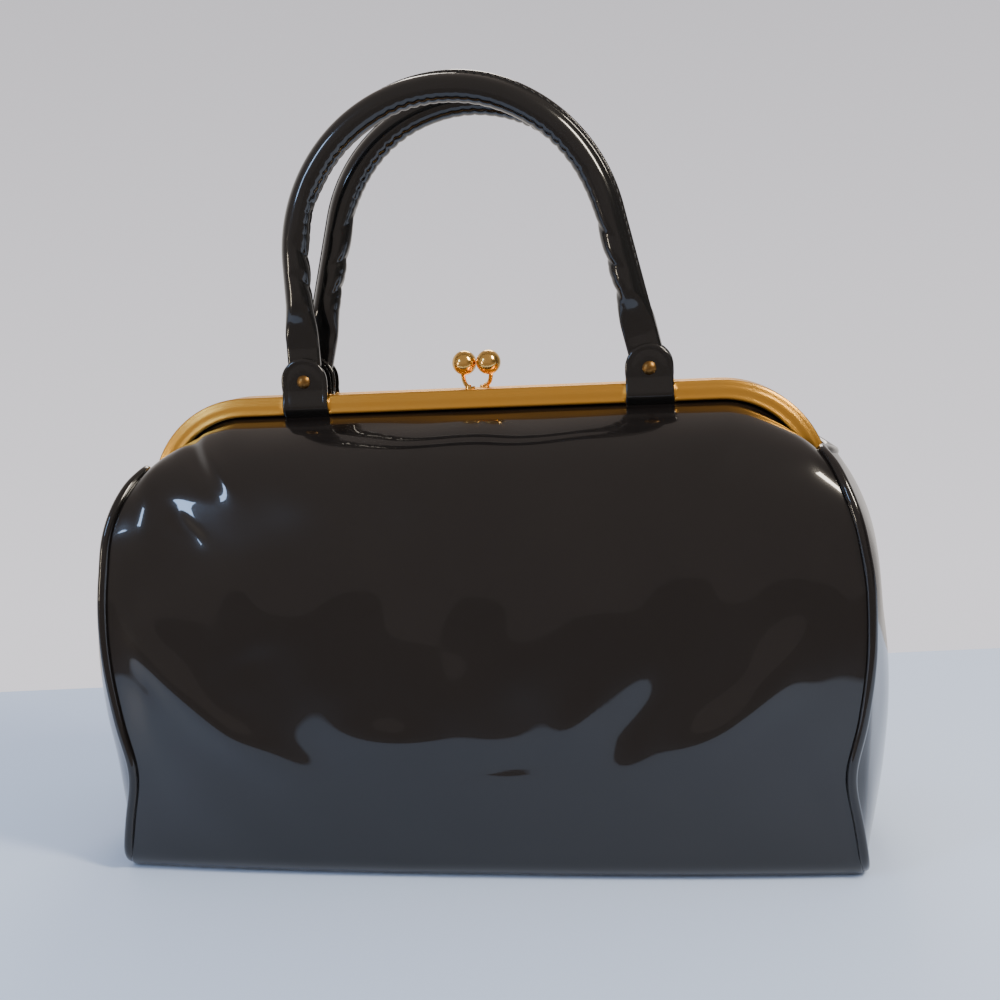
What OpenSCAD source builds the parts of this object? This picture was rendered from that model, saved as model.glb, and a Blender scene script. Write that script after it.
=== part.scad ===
// Kiss lock frame purse: a patent vinyl handbag whose mouth closes with a hinged metal frame.
// Millimetres. X runs along the frame, -Y is the front, Z is up, and the bag stands on z = 0.
// The bag looks the same when it is turned half round about Z.

/* [Frame] */
// Width over the two arms of the frame
frame_w = 306; // [290:1:320]
// Height of the frame's top edge above the floor
frame_top_z = 205; // [202:1:210]
// Height of the hinge line above the floor
hinge_z = 150; // [148:1:151]
// Outer radius of the frame's two shoulders
frame_corner_r = 46; // [42:1:48]
// Height of the frame's bar, seen from the front
bar_h = 8.5; // [8:0.1:9.5]
// Thickness of one half of the bar, front to back
bar_t = 10; // [9.6:0.1:11]
// Radius of the bead along the bar's lower edge
bead_r = 0.95; // [0.6:0.05:1.2]
// Width of the crimped channel that holds the vinyl
channel_w = 2.4; // [2.2:0.1:3]
// Depth of the crimped channel
channel_depth = 5; // [4:0.1:6]

/* [Hinge] */
// Radius of the flattened ear at each end of a frame half
ear_r = 5; // [4:0.1:5.4]
// Thickness of an ear
ear_t = 1.5; // [1.2:0.1:2]
// Radius of the hinge rivet's shank
hinge_pin_r = 1.5; // [1:0.1:2]
// Radius of the hinge rivet's heads
hinge_head_r = 3.2; // [2.6:0.1:3.6]

/* [Kiss lock] */
// Diameter of each ball
ball_d = 11; // [9:0.2:11]
// Distance between the two ball centres along the frame
ball_spacing = 11.2; // [11.2:0.1:13]
// Height of the ball centres above the frame
ball_rise = 11.5; // [10:0.1:13]
// How far each ball leans past the middle of the bag
ball_lean = 1; // [0:0.1:2]
// Radius of the curved stem
stem_r = 1; // [0.8:0.05:1.2]
// Distance of the stem's foot from the middle of the frame
stem_foot_x = 2.5; // [2.4:0.1:4]
// How far the stem bows out past the ball's centre
stem_bow = 0.9; // [0:0.1:2]

/* [Handles] */
// Distance from the middle of the bag to a handle's end
handle_x = 77; // [72:0.5:82]
// Radius of the handle's arch, at the middle of the roll
arch_r = 70; // [66:0.5:73]
// Height of the arch's centre above the frame bar's middle
arch_rise = 62.8; // [60:0.2:70]
// Radius of the back handle's arch, which stands evenly over its two ends
back_arch_r = 66.5; // [64:0.5:72]
// Diameter of the rolled grip
roll_d = 12.5; // [12:0.1:14]
// Diameter of the rope core inside the roll
core_d = 9; // [7:0.1:10]
// How far the stitched flange stands out from the roll
flange_h = 2; // [1:0.1:3]
// Thickness of the stitched flange
flange_t = 1.8; // [1.2:0.1:2.2]
// Lean of an upright handle away from the middle of the bag
handle_lean = 3.3; // [2:0.1:6]
// Width of the flattened end of the roll
end_w = 15; // [12:0.2:16]
// Thickness of the flattened end
end_t = 5.6; // [5:0.1:5.8]

/* [Tabs] */
// Width of the vinyl tab
tab_w = 20; // [18:0.2:24]
// Thickness of the tab's outer layer
tab_front_t = 1.7; // [1.2:0.1:2]
// Thickness of the tab's inner layer and of its loop
tab_back_t = 1; // [0.8:0.1:1.2]
// Radius of the round neck in the bar that the tab turns on
neck_r = 4.6; // [4.2:0.05:4.8]
// Height of the tab's rivet above the neck
rivet_rise = 10.9; // [10.5:0.1:13]
// Radius of the rivet's shank
rivet_r = 1.5; // [1:0.05:1.8]
// Radius of the rivet's domed head
rivet_head_r = 3; // [2.4:0.05:3.6]

/* [Bag] */
// How far the seams stand out beyond the frame's ends at the bottom
foot_over = 5; // [2:0.5:9]
// How far the seams stand out beyond the frame's ends at the pinched waist
waist_over = -3; // [-6:0.5:-1]
// How far the seams stand out beyond the frame's ends at the fullest height
full_over = 4; // [2:0.5:7]
// How far the seams stand out beyond the frame's ends at the hinge line
top_over = 0.5; // [0:0.5:2]
// How far the gussets bulge beyond the frame's ends
gusset_over = 25; // [18:0.5:32]
// How far the gussets stand out beyond the frame's ends at the hinge line
gusset_top_over = 12; // [11:0.5:16]
// How far the gussets' curled rims stand out beyond the frame's ends
gusset_rim_over = 4; // [3.5:0.5:6]
// Half the depth of the bag at the middle, low down
depth_low = 65; // [62:0.5:70]
// Half the depth of the bag at the middle, at the hinge line
depth_top = 58.5; // [57:0.5:61]
// Half the depth of the bag at the seams
depth_seam = 56; // [54:0.5:58]
// Radius of the soft bottom edge
foot_r = 9; // [6:0.5:14]
// Thickness of the vinyl with its backing
vinyl_t = 1.6; // [1.2:0.1:1.8]
// Radius of the piping in the seams
piping_r = 2.2; // [1.8:0.1:2.6]
// Thickness of the board in the bottom
board_t = 2; // [1:0.1:3]
// Thickness of the cloth lining
lining_t = 0.8; // [0.6:0.1:1.2]
// Height that the lining reaches
lining_z = 103; // [90:1:104]

/* [Hidden] */

vinyl_colour = "#1d1b1b";
gold_colour = "#c98a35";
brass_colour = "#8a6a3c";
cloth_colour = "#4a4440";
board_colour = "#8b7355";
rope_colour = "#cfc3a8";

half_gap = 0.3;
running = 0.05;
clear = 0.3;
seat = 0.02;
eps = 0.01;
bar_far = half_gap + bar_t;
straight_half = frame_w / 2 - frame_corner_r;
corner_z = frame_top_z - frame_corner_r;
bar_mid_z = frame_top_z - bar_h / 2;
neck_y = 6.3;
arm_end_z = hinge_z + ear_r + 1;
arm_mid_x = frame_w / 2 - bar_h / 2;
ear_gap = 0.15;
hinge_head_t = 1.2;

loop_in_r = neck_r + 0.1;
loop_out_r = loop_in_r + 1.3;
layer_in = end_t / 2 + 0.2;
layer_z = 8;
washer_t = 0.6;
washer_r = 3.2;
clinch_t = 0.5;
neck_half = tab_w / 2 + 0.6;
roll_end_z = 46;
strap_top_z = 30;

seam_foot = frame_w / 2 + foot_over;
seam_waist = frame_w / 2 + waist_over;
seam_full = frame_w / 2 + full_over;
seam_top = frame_w / 2 + top_over;
gusset_full = frame_w / 2 + gusset_over;
gusset_top = frame_w / 2 + gusset_top_over;
gusset_rim = frame_w / 2 + gusset_rim_over;
seam_gap = piping_r + 0.5;
lap_inset = vinyl_t + 0.5;
cap_end_z = arm_end_z + 2.3;
cap_front = bar_far + 2.6;
cap_meet = cap_front + 1;
lap_angle = 8;
panel_top_z = hinge_z - 2;
gusset_rise = 10;

// Slow start, slow end, for t from 0 to 1.
function smooth(t) = t * t * (3 - 2 * t);

// Value at h on the smooth curve through the points of a table of [height, value] rows.
function curve_at(table, h, i = 0) =
    h <= table[0][0] ? table[0][1] :
    i >= len(table) - 1 ? table[len(table) - 1][1] :
    h > table[i + 1][0] ? curve_at(table, h, i + 1) :
    cubic_at(
        i > 0 ? table[i - 1] : table[i],
        table[i],
        table[i + 1],
        i < len(table) - 2 ? table[i + 2] : table[i + 1],
        h);
function cubic_at(before, a, b, after, h) =
    let (
        span = b[0] - a[0],
        t = (h - a[0]) / span,
        slope_a = (b[1] - before[1]) / (b[0] - before[0]) * span,
        slope_b = (after[1] - a[1]) / (after[0] - a[0]) * span
    )
    a[1] * (1 + 2 * t) * pow(1 - t, 2) + slope_a * t * pow(1 - t, 2)
    + b[1] * t * t * (3 - 2 * t) + slope_b * t * t * (t - 1);

// The bag's form: half widths and half depths by height.
seam_curve = [
    [0, seam_foot], [24, (seam_foot + seam_waist) / 2], [44, seam_waist], [65, (seam_waist + seam_full) / 2],
    [95, seam_full], [122, seam_full], [hinge_z, seam_top]
];
gusset_curve = [
    [0, seam_foot + 5], [20, gusset_full - 6], [50, gusset_full], [100, gusset_full],
    [130, gusset_full * 0.65 + gusset_top * 0.35], [hinge_z, gusset_top], [hinge_z + gusset_rise, gusset_rim]
];
depth_curve = [
    [0, depth_low - 4], [25, depth_low - 1], [50, depth_low], [80, depth_low - 1],
    [115, (depth_low + depth_top) / 2], [hinge_z, depth_top]
];
seam_depth_curve = [[0, depth_seam + 1], [50, depth_seam], [110, depth_seam - 1], [hinge_z, depth_seam - 4]];

function seam_x(z) = curve_at(seam_curve, z);
function seam_y(z) = curve_at(seam_depth_curve, z);
function panel_y(s, z) = seam_y(z) + (curve_at(depth_curve, z) - seam_y(z)) * (1 - pow(abs(s), 2.6));
function gusset_x(y, z) = seam_x(z) + (curve_at(gusset_curve, z) - seam_x(z)) * (1 - pow(abs(y) / seam_y(z), 2));

// Normals of a grid of points, from its neighbours.
function unit(v) = v / norm(v);
function along(grid, i, j) = grid[min(i + 1, len(grid) - 1)][j] - grid[max(i - 1, 0)][j];
function across(grid, i, j) = grid[i][min(j + 1, len(grid[0]) - 1)] - grid[i][max(j - 1, 0)];
function grid_normal(grid, i, j) = unit(cross(along(grid, i, j), across(grid, i, j)));
function shifted(grid, t) = [
    for (i = [0:len(grid) - 1]) [for (j = [0:len(grid[0]) - 1]) grid[i][j] + t * grid_normal(grid, i, j)]
];

// A closed sheet between two grids of the same size.
module sheet(outer, inner) {
    rows = len(outer);
    cols = len(outer[0]);
    count = rows * cols;
    function at(i, j) = i * cols + j;
    function quad(a, b, c, d) = [[a, b, c], [a, c, d]];
    points = concat([for (row = outer) for (p = row) p], [for (row = inner) for (p = row) p]);
    outer_faces = [for (i = [0:rows - 2]) for (j = [0:cols - 2])
        each quad(at(i, j), at(i + 1, j), at(i + 1, j + 1), at(i, j + 1))];
    inner_faces = [for (f = outer_faces) [count + f[0], count + f[2], count + f[1]]];
    low_rim = [for (j = [0:cols - 2]) each quad(at(0, j), at(0, j + 1), count + at(0, j + 1), count + at(0, j))];
    top_rim = [for (j = [0:cols - 2]) let (i = rows - 1)
        each quad(at(i, j), count + at(i, j), count + at(i, j + 1), at(i, j + 1))];
    left_rim = [for (i = [0:rows - 2]) each quad(at(i, 0), count + at(i, 0), count + at(i + 1, 0), at(i + 1, 0))];
    right_rim = [for (i = [0:rows - 2]) let (j = cols - 1)
        each quad(at(i, j), at(i + 1, j), count + at(i + 1, j), count + at(i, j))];
    polyhedron(points, concat(outer_faces, inner_faces, low_rim, top_rim, left_rim, right_rim));
}

// A round tube through a list of points, none of which runs along the way across.
module tube(path, r, sides, across = [1, 0, 0]) {
    last = len(path) - 1;
    function heading(i) = unit(path[min(i + 1, last)] - path[max(i - 1, 0)]);
    function side_way(i) = unit(cross(heading(i), across));
    rings = [for (i = [0:last]) for (k = [0:sides - 1])
        path[i] + r * (cos(360 * k / sides) * side_way(i)
            + sin(360 * k / sides) * cross(side_way(i), heading(i)))];
    walls = [for (i = [0:last - 1]) for (k = [0:sides - 1])
        let (a = i * sides + k, b = i * sides + (k + 1) % sides) each [[a, b + sides, a + sides], [a, b, b + sides]]];
    start = [[for (k = [sides - 1:-1:0]) k]];
    end = [[for (k = [0:sides - 1]) last * sides + k]];
    polyhedron(rings, concat(walls, start, end));
}

// A closed wall between two stacks of rings that have the same number of points.
module ring_wall(outer, inner) {
    rows = len(outer);
    sides = len(outer[0]);
    count = rows * sides;
    function at(i, k) = i * sides + k % sides;
    points = concat([for (ring = outer) for (p = ring) p], [for (ring = inner) for (p = ring) p]);
    outer_faces = [for (i = [0:rows - 2]) for (k = [0:sides - 1])
        each [[at(i, k), at(i + 1, k), at(i + 1, k + 1)], [at(i, k), at(i + 1, k + 1), at(i, k + 1)]]];
    inner_faces = [for (f = outer_faces) [count + f[0], count + f[2], count + f[1]]];
    top_rim = [for (k = [0:sides - 1]) let (a = at(rows - 1, k), b = at(rows - 1, k + 1))
        each [[a, a + count, b + count], [a, b + count, b]]];
    low_rim = [for (k = [0:sides - 1]) let (a = at(0, k), b = at(0, k + 1))
        each [[a, b + count, a + count], [a, b, b + count]]];
    polyhedron(points, concat(outer_faces, inner_faces, top_rim, low_rim));
}

// Lower bag: one sheet of vinyl, down the front, under the bottom and up the back.
panel_cols = 14;
panel_wall_rows = 9;
foot_rows = 4;
function panel_point(s, y, z) = [s * (seam_x(z) - seam_gap), y, z];
function panel_front_path(s) = concat(
    [for (i = [0:panel_wall_rows - 1])
        let (z = panel_top_z + (foot_r - panel_top_z) * i / panel_wall_rows) panel_point(s, -panel_y(s, z), z)],
    [for (i = [0:foot_rows])
        let (a = 90 * i / foot_rows, z = foot_r * (1 - sin(a)))
            panel_point(s, -panel_y(s, foot_r) + foot_r * (1 - cos(a)), z)]
);
function half_turned(p) = [-p.x, -p.y, p.z];
function panel_column(s) = let (front = panel_front_path(s), back = panel_front_path(-s)) concat(
    front,
    [panel_point(s, 0, 0)],
    [for (i = [len(back) - 1:-1:0]) half_turned(back[i])]
);

module main_panel() {
    columns = [for (j = [0:panel_cols]) panel_column(-1 + 2 * j / panel_cols)];
    color(vinyl_colour) sheet(columns, shifted(columns, vinyl_t));
}

// Gusset: the bulging side between the front and back seams.
gusset_cols = 12;
gusset_rows = 12;
gusset_corner = 0.7;
gusset_corner_rise = 11;
gusset_shoulder_drop = 4;
function gusset_foot_z(s) = 2 * piping_r + 0.7
    + gusset_corner_rise * pow(max(0, abs(s) - gusset_corner) / (1 - gusset_corner), 2);
function gusset_top_z(s) = hinge_z - gusset_shoulder_drop + (gusset_rise + gusset_shoulder_drop) * (1 - s * s);
function gusset_point(s, v) =
    let (z = gusset_foot_z(s) + (gusset_top_z(s) - gusset_foot_z(s)) * v, y = s * (seam_y(z) - seam_gap))
    [gusset_x(y, z), y, z];

module gusset() {
    grid = [for (i = [0:gusset_rows]) [for (j = [0:gusset_cols]) gusset_point(-1 + 2 * j / gusset_cols, i / gusset_rows)]];
    color(vinyl_colour) sheet(grid, shifted(grid, vinyl_t));
}

module gusset_right() {
    gusset();
}

module gusset_left() {
    rotate([0, 0, 180]) gusset();
}

// Piping: a thin cord in vinyl along each side's seam, down the front, under the gusset and up the back.
piping_turn = 10;
piping_rows = 10;
piping_foot = piping_r + 0.4;
piping_top_z = hinge_z - 5;
function seam_point(z) = [seam_x(z), -seam_y(z), z];
piping_down = [for (i = [0:piping_rows])
    seam_point(piping_top_z + (piping_foot + piping_turn - piping_top_z) * i / piping_rows)];
piping_bend = [for (a = [22.5:22.5:90])
    let (z = piping_foot + piping_turn * (1 - sin(a)))
        [seam_x(z), -seam_y(piping_foot + piping_turn) + piping_turn * (1 - cos(a)), z]];
piping_front = concat(piping_down, piping_bend);
piping_path = concat(
    piping_front,
    [[seam_x(piping_foot), 0, piping_foot]],
    [for (i = [len(piping_front) - 1:-1:0]) let (p = piping_front[i]) [p.x, -p.y, p.z]]
);

module piping_right() {
    color(vinyl_colour) tube(piping_path, piping_r, 8);
}

module piping_left() {
    color(vinyl_colour) rotate([0, 0, 180]) tube(piping_path, piping_r, 8);
}

// Board that keeps the bottom flat, under the lining.
board_round = 12;
board_end_gap = 14;
board_side_gap = 4;
board_half_x = seam_waist - board_end_gap;
board_half_y = depth_seam - foot_r - board_side_gap;

module base_board() {
    color(board_colour) translate([0, 0, vinyl_t]) linear_extrude(board_t) {
        square([2 * board_half_x, 2 * (board_half_y - board_round)], center = true);
        square([2 * (board_half_x - board_round), 2 * board_half_y], center = true);
        for (sx = [-1, 1])
            for (sy = [-1, 1])
                translate([sx * (board_half_x - board_round), sy * (board_half_y - board_round)])
                    circle(board_round, $fn = 48);
    }
}

// Lining: an open cloth bag that stands on the board.
lining_front_cols = 12;
lining_side_cols = 8;
lining_gap = vinyl_t + 1;
lining_rows = 6;
lining_foot_z = vinyl_t + board_t + 0.2;
lining_foot_inset = 10;
lining_foot_turn = 22;
lining_corner_gap = 1;
lining_side_gap = 1.2;
function lining_inset(z, more) =
    lining_gap + more + lining_foot_inset * pow(max(0, 1 - (z - lining_foot_z) / lining_foot_turn), 2);
function lining_ring(z, more) =
    let (
        inset = lining_inset(z, more),
        half_x = seam_x(z) - inset - seam_gap - lining_corner_gap,
        half_y = seam_y(z) - inset - seam_gap - lining_corner_gap,
        front = [for (j = [0:lining_front_cols - 1])
            let (s = -1 + 2 * j / lining_front_cols) [s * half_x, -(panel_y(s, z) - inset), z]],
        side = [for (j = [0:lining_side_cols - 1])
            let (s = -1 + 2 * j / lining_side_cols) [gusset_x(s * half_y, z) - inset - lining_side_gap, s * half_y, z]]
    )
    concat(front, side, [for (p = front) half_turned(p)], [for (p = side) half_turned(p)]);

module lining() {
    levels = [for (i = [0:lining_rows]) lining_foot_z + (lining_z - lining_foot_z) * pow(i / lining_rows, 1.5)];
    outer = [for (z = levels) lining_ring(z, 0)];
    inner = [for (z = levels) lining_ring(z, lining_t)];
    color(cloth_colour) {
        ring_wall(outer, inner);
        sole = concat(outer[0], [for (p = outer[0]) p + [0, 0, lining_t]]);
        sides = len(outer[0]);
        polyhedron(sole, concat(
            [[for (k = [0:sides - 1]) k]],
            [[for (k = [sides - 1:-1:0]) sides + k]],
            [for (k = [0:sides - 1]) let (n = (k + 1) % sides)
                each [[k, k + sides, n + sides], [k, n + sides, n]]]
        ));
    }
}

// Upper panel: the vinyl that rises over the shoulder into the frame's channel. It swings with its
// half of the frame, and its lower edge slides inside the lower panel.
cap_side_cols = 6;
cap_corner_cols = 5;
cap_top_cols = 6;
cap_curve_rows = 7;
channel_mid = bar_far - 3;
channel_r = frame_corner_r - bar_h;
cap_seam_angle = 35;
cap_arm_share = 0.3;
knee_rise = 0.72;
knee_out = 0.95;
knee_front = 0.92;
side_rise = 0.22;
side_out = 0.7;
lead_gap = 1.2;

// Point on the frame's arch at distance r from the shoulder's centre. The way w runs from 0 at the
// arm's end over 1 at the seam and 2 at the shoulder's top to 3 in the middle.
function arch_point(w, r) =
    w < 1 ? (
        w < cap_arm_share ? [straight_half + r, corner_z + (cap_end_z - corner_z) * (1 - w / cap_arm_share)]
        : let (a = cap_seam_angle * (w - cap_arm_share) / (1 - cap_arm_share))
            [straight_half + r * cos(a), corner_z + r * sin(a)]
    ) : w < 2 ? (
        let (a = cap_seam_angle + (90 - cap_seam_angle) * (w - 1))
            [straight_half + r * cos(a), corner_z + r * sin(a)]
    ) : [straight_half * (3 - w), corner_z + r];

// Point on the lower panel's inner face at the hinge line, on the same way w.
cap_corner = lap_inset + lead_gap;
lap_corner_share = 0.32;
lap_side_gap = 1.4;
function lap_point(w) =
    w < 1 ? (
        let (y = cap_meet + (seam_y(hinge_z) - cap_corner - cap_meet) * w)
            [gusset_x(y, hinge_z) - lap_inset - lap_side_gap, -y]
    ) : (
        let (x = (seam_top - cap_corner) * (w < 2 ? 1 - lap_corner_share * (w - 1) : (1 - lap_corner_share) * (3 - w)))
            [x, -(panel_y(x / seam_top, hinge_z) - lap_inset)]
    );

function bend(a, b, c, t) = a * pow(1 - t, 2) + b * 2 * t * (1 - t) + c * t * t;
function cap_column(w) =
    let (
        deep = arch_point(w, channel_r + channel_depth - 1),
        mouth = arch_point(w, channel_r - clear),
        front = arch_point(w, channel_r - clear - lead_gap),
        edge_y = -(channel_mid + vinyl_t / 2),
        lap = lap_point(w),
        start = [front[0], -cap_front, front[1]],
        finish = [lap[0], lap[1], hinge_z],
        round = min(w, 1),
        rise = side_rise + (knee_rise - side_rise) * round,
        out = side_out + (knee_out - side_out) * round,
        knee = [finish.x * out + start.x * (1 - out), finish.y * knee_front + start.y * (1 - knee_front),
            hinge_z + (start.z - hinge_z) * rise]
    )
    concat(
        [[deep[0], edge_y, deep[1]], [mouth[0], edge_y, mouth[1]]],
        [for (i = [0:cap_curve_rows]) bend(start, knee, finish, i / cap_curve_rows)],
        [for (a = [lap_angle / 2, lap_angle]) [finish.x, finish.y * cos(a), hinge_z + finish.y * sin(a)]]
    );
cap_ways = concat(
    [for (i = [0:cap_side_cols - 1]) i / cap_side_cols],
    [for (i = [0:cap_corner_cols - 1]) 1 + i / cap_corner_cols],
    [for (i = [0:cap_top_cols]) 2 + i / cap_top_cols]
);

module panel_upper() {
    right = [for (w = cap_ways) cap_column(w)];
    left = [for (i = [len(right) - 1:-1:1]) [for (p = right[len(right) - i - 1]) [-p.x, p.y, p.z]]];
    grid = concat(left, [for (i = [len(right) - 1:-1:0]) right[i]]);
    difference() {
        sheet(grid, shifted(grid, vinyl_t));
        for (side = [-1, 1])
            translate([side * handle_x, -neck_y, bar_mid_z])
                rotate([0, 90, 0]) cylinder(h = 2 * neck_half + 1, r = loop_out_r + 1, center = true, $fn = 64);
    }
}

module panel_front_upper() {
    color(vinyl_colour) panel_upper();
}

module panel_back_upper() {
    color(vinyl_colour) rotate([0, 0, 180]) panel_upper();
}

// Section of one half of the frame: [distance from the shoulder's centre, depth to the front].
groove_r = 0.55;
lip_step = 0.5;
edge_chamfer = 0.7;
module bar_section() {
    top = frame_corner_r;
    low = frame_corner_r - bar_h;
    difference() {
        union() {
            polygon([
                [low, half_gap], [top - edge_chamfer, half_gap], [top, half_gap + edge_chamfer],
                [top, bar_far - lip_step - edge_chamfer], [top - edge_chamfer, bar_far - lip_step],
                [top - bar_h / 4, bar_far - lip_step], [top - bar_h / 4 - groove_r, bar_far],
                [low + bead_r, bar_far], [low, bar_far - bead_r]
            ]);
            translate([low + bead_r, bar_far - bead_r / 2]) circle(bead_r, $fn = 32);
        }
        translate([top - bar_h / 4, bar_far]) circle(groove_r, $fn = 32);
        translate([low - 1, channel_mid - channel_w / 2]) square([channel_depth + 1, channel_w]);
    }
}

// The section swept over the top, round one shoulder and down one arm.
module bar_half() {
    multmatrix([[0, 0, 1, 0], [0, -1, 0, 0], [1, 0, 0, corner_z], [0, 0, 0, 1]])
        linear_extrude(straight_half) bar_section();
    translate([straight_half, 0, corner_z]) rotate([90, 0, 0])
        rotate_extrude(angle = 90, $fn = 128) bar_section();
    translate([straight_half, 0, arm_end_z])
        mirror([0, 1, 0]) linear_extrude(corner_z - arm_end_z) bar_section();
}

// Flattened ear that carries the hinge, at a distance from the middle.
module ear(x) {
    translate([x, 0, 0]) multmatrix([[0, 0, 1, 0], [1, 0, 0, 0], [0, 1, 0, 0], [0, 0, 0, 1]])
        linear_extrude(ear_t) difference() {
            union() {
                translate([0, hinge_z]) circle(ear_r, $fn = 64);
                polygon([
                    [-bar_far + 0.2, arm_end_z + 2], [-half_gap - 0.2, arm_end_z + 2],
                    [-half_gap - 0.2, hinge_z + 0.9 * ear_r], [ear_r * cos(210), hinge_z + ear_r * sin(210)]
                ]);
            }
            translate([0, hinge_z]) circle(hinge_pin_r + running, $fn = 64);
        }
}

// One half of the frame. Its right ear lies outside and its left ear inside the other half's ears.
module frame_half() {
    difference() {
        union() {
            bar_half();
            mirror([1, 0, 0]) bar_half();
        }
        for (side = [-1, 1])
            translate([side * handle_x - neck_half, -bar_far - 1, frame_top_z - bar_h - 1])
                cube([2 * neck_half, bar_t + 2, bar_h + 2]);
    }
    for (side = [-1, 1])
        translate([side * handle_x, -neck_y, bar_mid_z])
            rotate([0, 90, 0]) cylinder(h = 2 * neck_half + 0.4, r = neck_r, center = true, $fn = 64);
    ear(arm_mid_x + ear_gap);
    ear(-arm_mid_x + ear_gap);
}

module frame_front() {
    color(gold_colour) frame_half();
}

module frame_back() {
    color(gold_colour) rotate([0, 0, 180]) frame_half();
}

// Kiss lock: a ball on a curved stem that leans over the middle of the bag.
stem_steps = 8;
stem_reach = 1.2;
collar_r = 2.2;
collar_h = 1.2;
module knob() {
    ball_at = [-ball_spacing / 2, ball_lean, frame_top_z + ball_rise];
    foot = [-stem_foot_x, -half_gap - bar_t / 2, frame_top_z];
    top = [ball_at.x - stem_bow, ball_at.y, ball_at.z - ball_d / 2 + stem_reach];
    low_z = foot.z + stem_r + seat;
    path = [for (i = [0:stem_steps]) let (t = i / stem_steps)
        [foot.x + (top.x - foot.x) * sin(90 * t), foot.y + (top.y - foot.y) * smooth(t),
            low_z + (top.z - low_z) * (1 - cos(90 * t))]];
    translate(foot) cylinder(h = collar_h, r = collar_r, $fn = 48);
    tube(path, stem_r, 10, [0, 1, 0]);
    translate(ball_at) sphere(ball_d / 2, $fn = 64);
}

module knob_front() {
    color(gold_colour) knob();
}

module knob_back() {
    color(gold_colour) rotate([0, 0, 180]) knob();
}

// Hinge rivet: a shank through both ears with a head on each side.
module hinge_rivet() {
    grip = ear_gap + ear_t + running;
    translate([arm_mid_x, 0, hinge_z]) rotate([0, 90, 0]) {
        cylinder(h = 2 * grip + 2 * eps, r = hinge_pin_r, center = true, $fn = 64);
        translate([0, 0, grip]) cylinder(h = hinge_head_t, r1 = hinge_head_r, r2 = hinge_head_r - 0.8, $fn = 64);
        translate([0, 0, -grip - 0.8]) cylinder(h = 0.8, r = hinge_head_r - 0.3, $fn = 64);
    }
}

module hinge_rivet_right() {
    color(gold_colour) hinge_rivet();
}

module hinge_rivet_left() {
    color(gold_colour) rotate([0, 0, 180]) hinge_rivet();
}

// Places a handle's piece: its origin is on the neck's axis and it leans to the front.
module on_neck() {
    translate([0, -neck_y, bar_mid_z]) rotate([handle_lean, 0, 0]) children();
}

// An arch is [x, radius, rise]. The front one has sagged to the left, so its left leg is upright.
front_arch = [arch_r - handle_x, arch_r, arch_rise];
back_arch = [0, back_arch_r, arch_rise + arch_r - back_arch_r];

// A leg runs from its rivet and touches the arch. Its heights are measured from the rivet.
function leg_span(arch, side) = handle_x - side * arch[0];
function leg_drop(arch) = arch[2] - rivet_rise;
function leg_slope(arch, side) = let (span = leg_span(arch, side), drop = leg_drop(arch))
    acos(arch[1] / norm([span, drop])) - atan2(drop, span);
function leg_length(arch, side) = sqrt(pow(leg_span(arch, side), 2) + pow(leg_drop(arch), 2) - pow(arch[1], 2));
leg_roll_from = roll_end_z - rivet_rise;
leg_flat_to = strap_top_z - rivet_rise;
end_low = -4.6;
end_taper = 0.75;
arch_steps = 22;

// A station on the roll: [x, z, angle of the outward way, share of flattening, share of the end's width].
function leg_station(arch, side, h, flat, wide = 1) = let (slope = leg_slope(arch, side)) [
    side * (handle_x - h * sin(slope)), rivet_rise + h * cos(slope), side < 0 ? 180 - slope : slope, flat, wide
];
function arch_station(arch, a) = [arch[0] + arch[1] * cos(a), arch[2] + arch[1] * sin(a), a, 0, 1];
function leg_stations(arch, side) = [
    leg_station(arch, side, end_low, 1, end_taper), leg_station(arch, side, end_low + 2, 1),
    leg_station(arch, side, leg_flat_to, 1),
    leg_station(arch, side, (leg_flat_to * 2 + leg_roll_from) / 3, 0.75),
    leg_station(arch, side, (leg_flat_to + leg_roll_from * 2) / 3, 0.25),
    leg_station(arch, side, leg_roll_from, 0),
    leg_station(arch, side, (leg_roll_from + leg_length(arch, side)) / 2, 0)
];
function roll_stations(arch) = let (
        right = leg_stations(arch, 1),
        from = 180 - leg_slope(arch, -1),
        to = leg_slope(arch, 1)
    ) concat(
        leg_stations(arch, -1),
        [for (i = [0:arch_steps]) arch_station(arch, from + (to - from) * i / arch_steps)],
        [for (i = [len(right) - 1:-1:0]) right[i]]
    );

// Puts a section's points at a station: a section has X to the outside of the arch.
function at_station(station, section) = [for (p = section)
    [station[0] + p.x * cos(station[2]), -p.y, station[1] + p.x * sin(station[2])]];
function blunt(v) = sign(v) * pow(abs(v), 0.4);
function flat_section(section, half_w, half_t) = [for (p = section)
    let (a = atan2(p.y, p.x)) [half_w * blunt(cos(a)), half_t * blunt(sin(a))]];
function mixed(a, b, t) = [for (i = [0:len(a) - 1]) a[i] * (1 - t) + b[i] * t];

// Section of the roll: round, with the stitched flange on its outer side.
round_sides = 14;
roll_r = roll_d / 2;
flange_angle = asin(flange_t / 2 / roll_r);
roll_section = concat(
    [[roll_r + flange_h, -flange_t / 2], [roll_r + flange_h, flange_t / 2]],
    [for (i = [0:round_sides]) let (a = flange_angle + (360 - 2 * flange_angle) * i / round_sides)
        [roll_r * cos(a), roll_r * sin(a)]]
);
hollow_r = core_d / 2 + 0.25;
hollow_section = [for (p = roll_section) let (a = atan2(p.y, p.x)) [hollow_r * cos(a), hollow_r * sin(a)]];
layer_gap = 0.3;
function roll_ring(st) = at_station(st, mixed(
    roll_section, flat_section(roll_section, end_w / 2 * st[4], end_t / 2), st[3]));
function hollow_ring(st) = at_station(st, mixed(
    hollow_section, flat_section(roll_section, end_w / 2 * st[4] - 1.4, layer_gap), st[3]));

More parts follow.
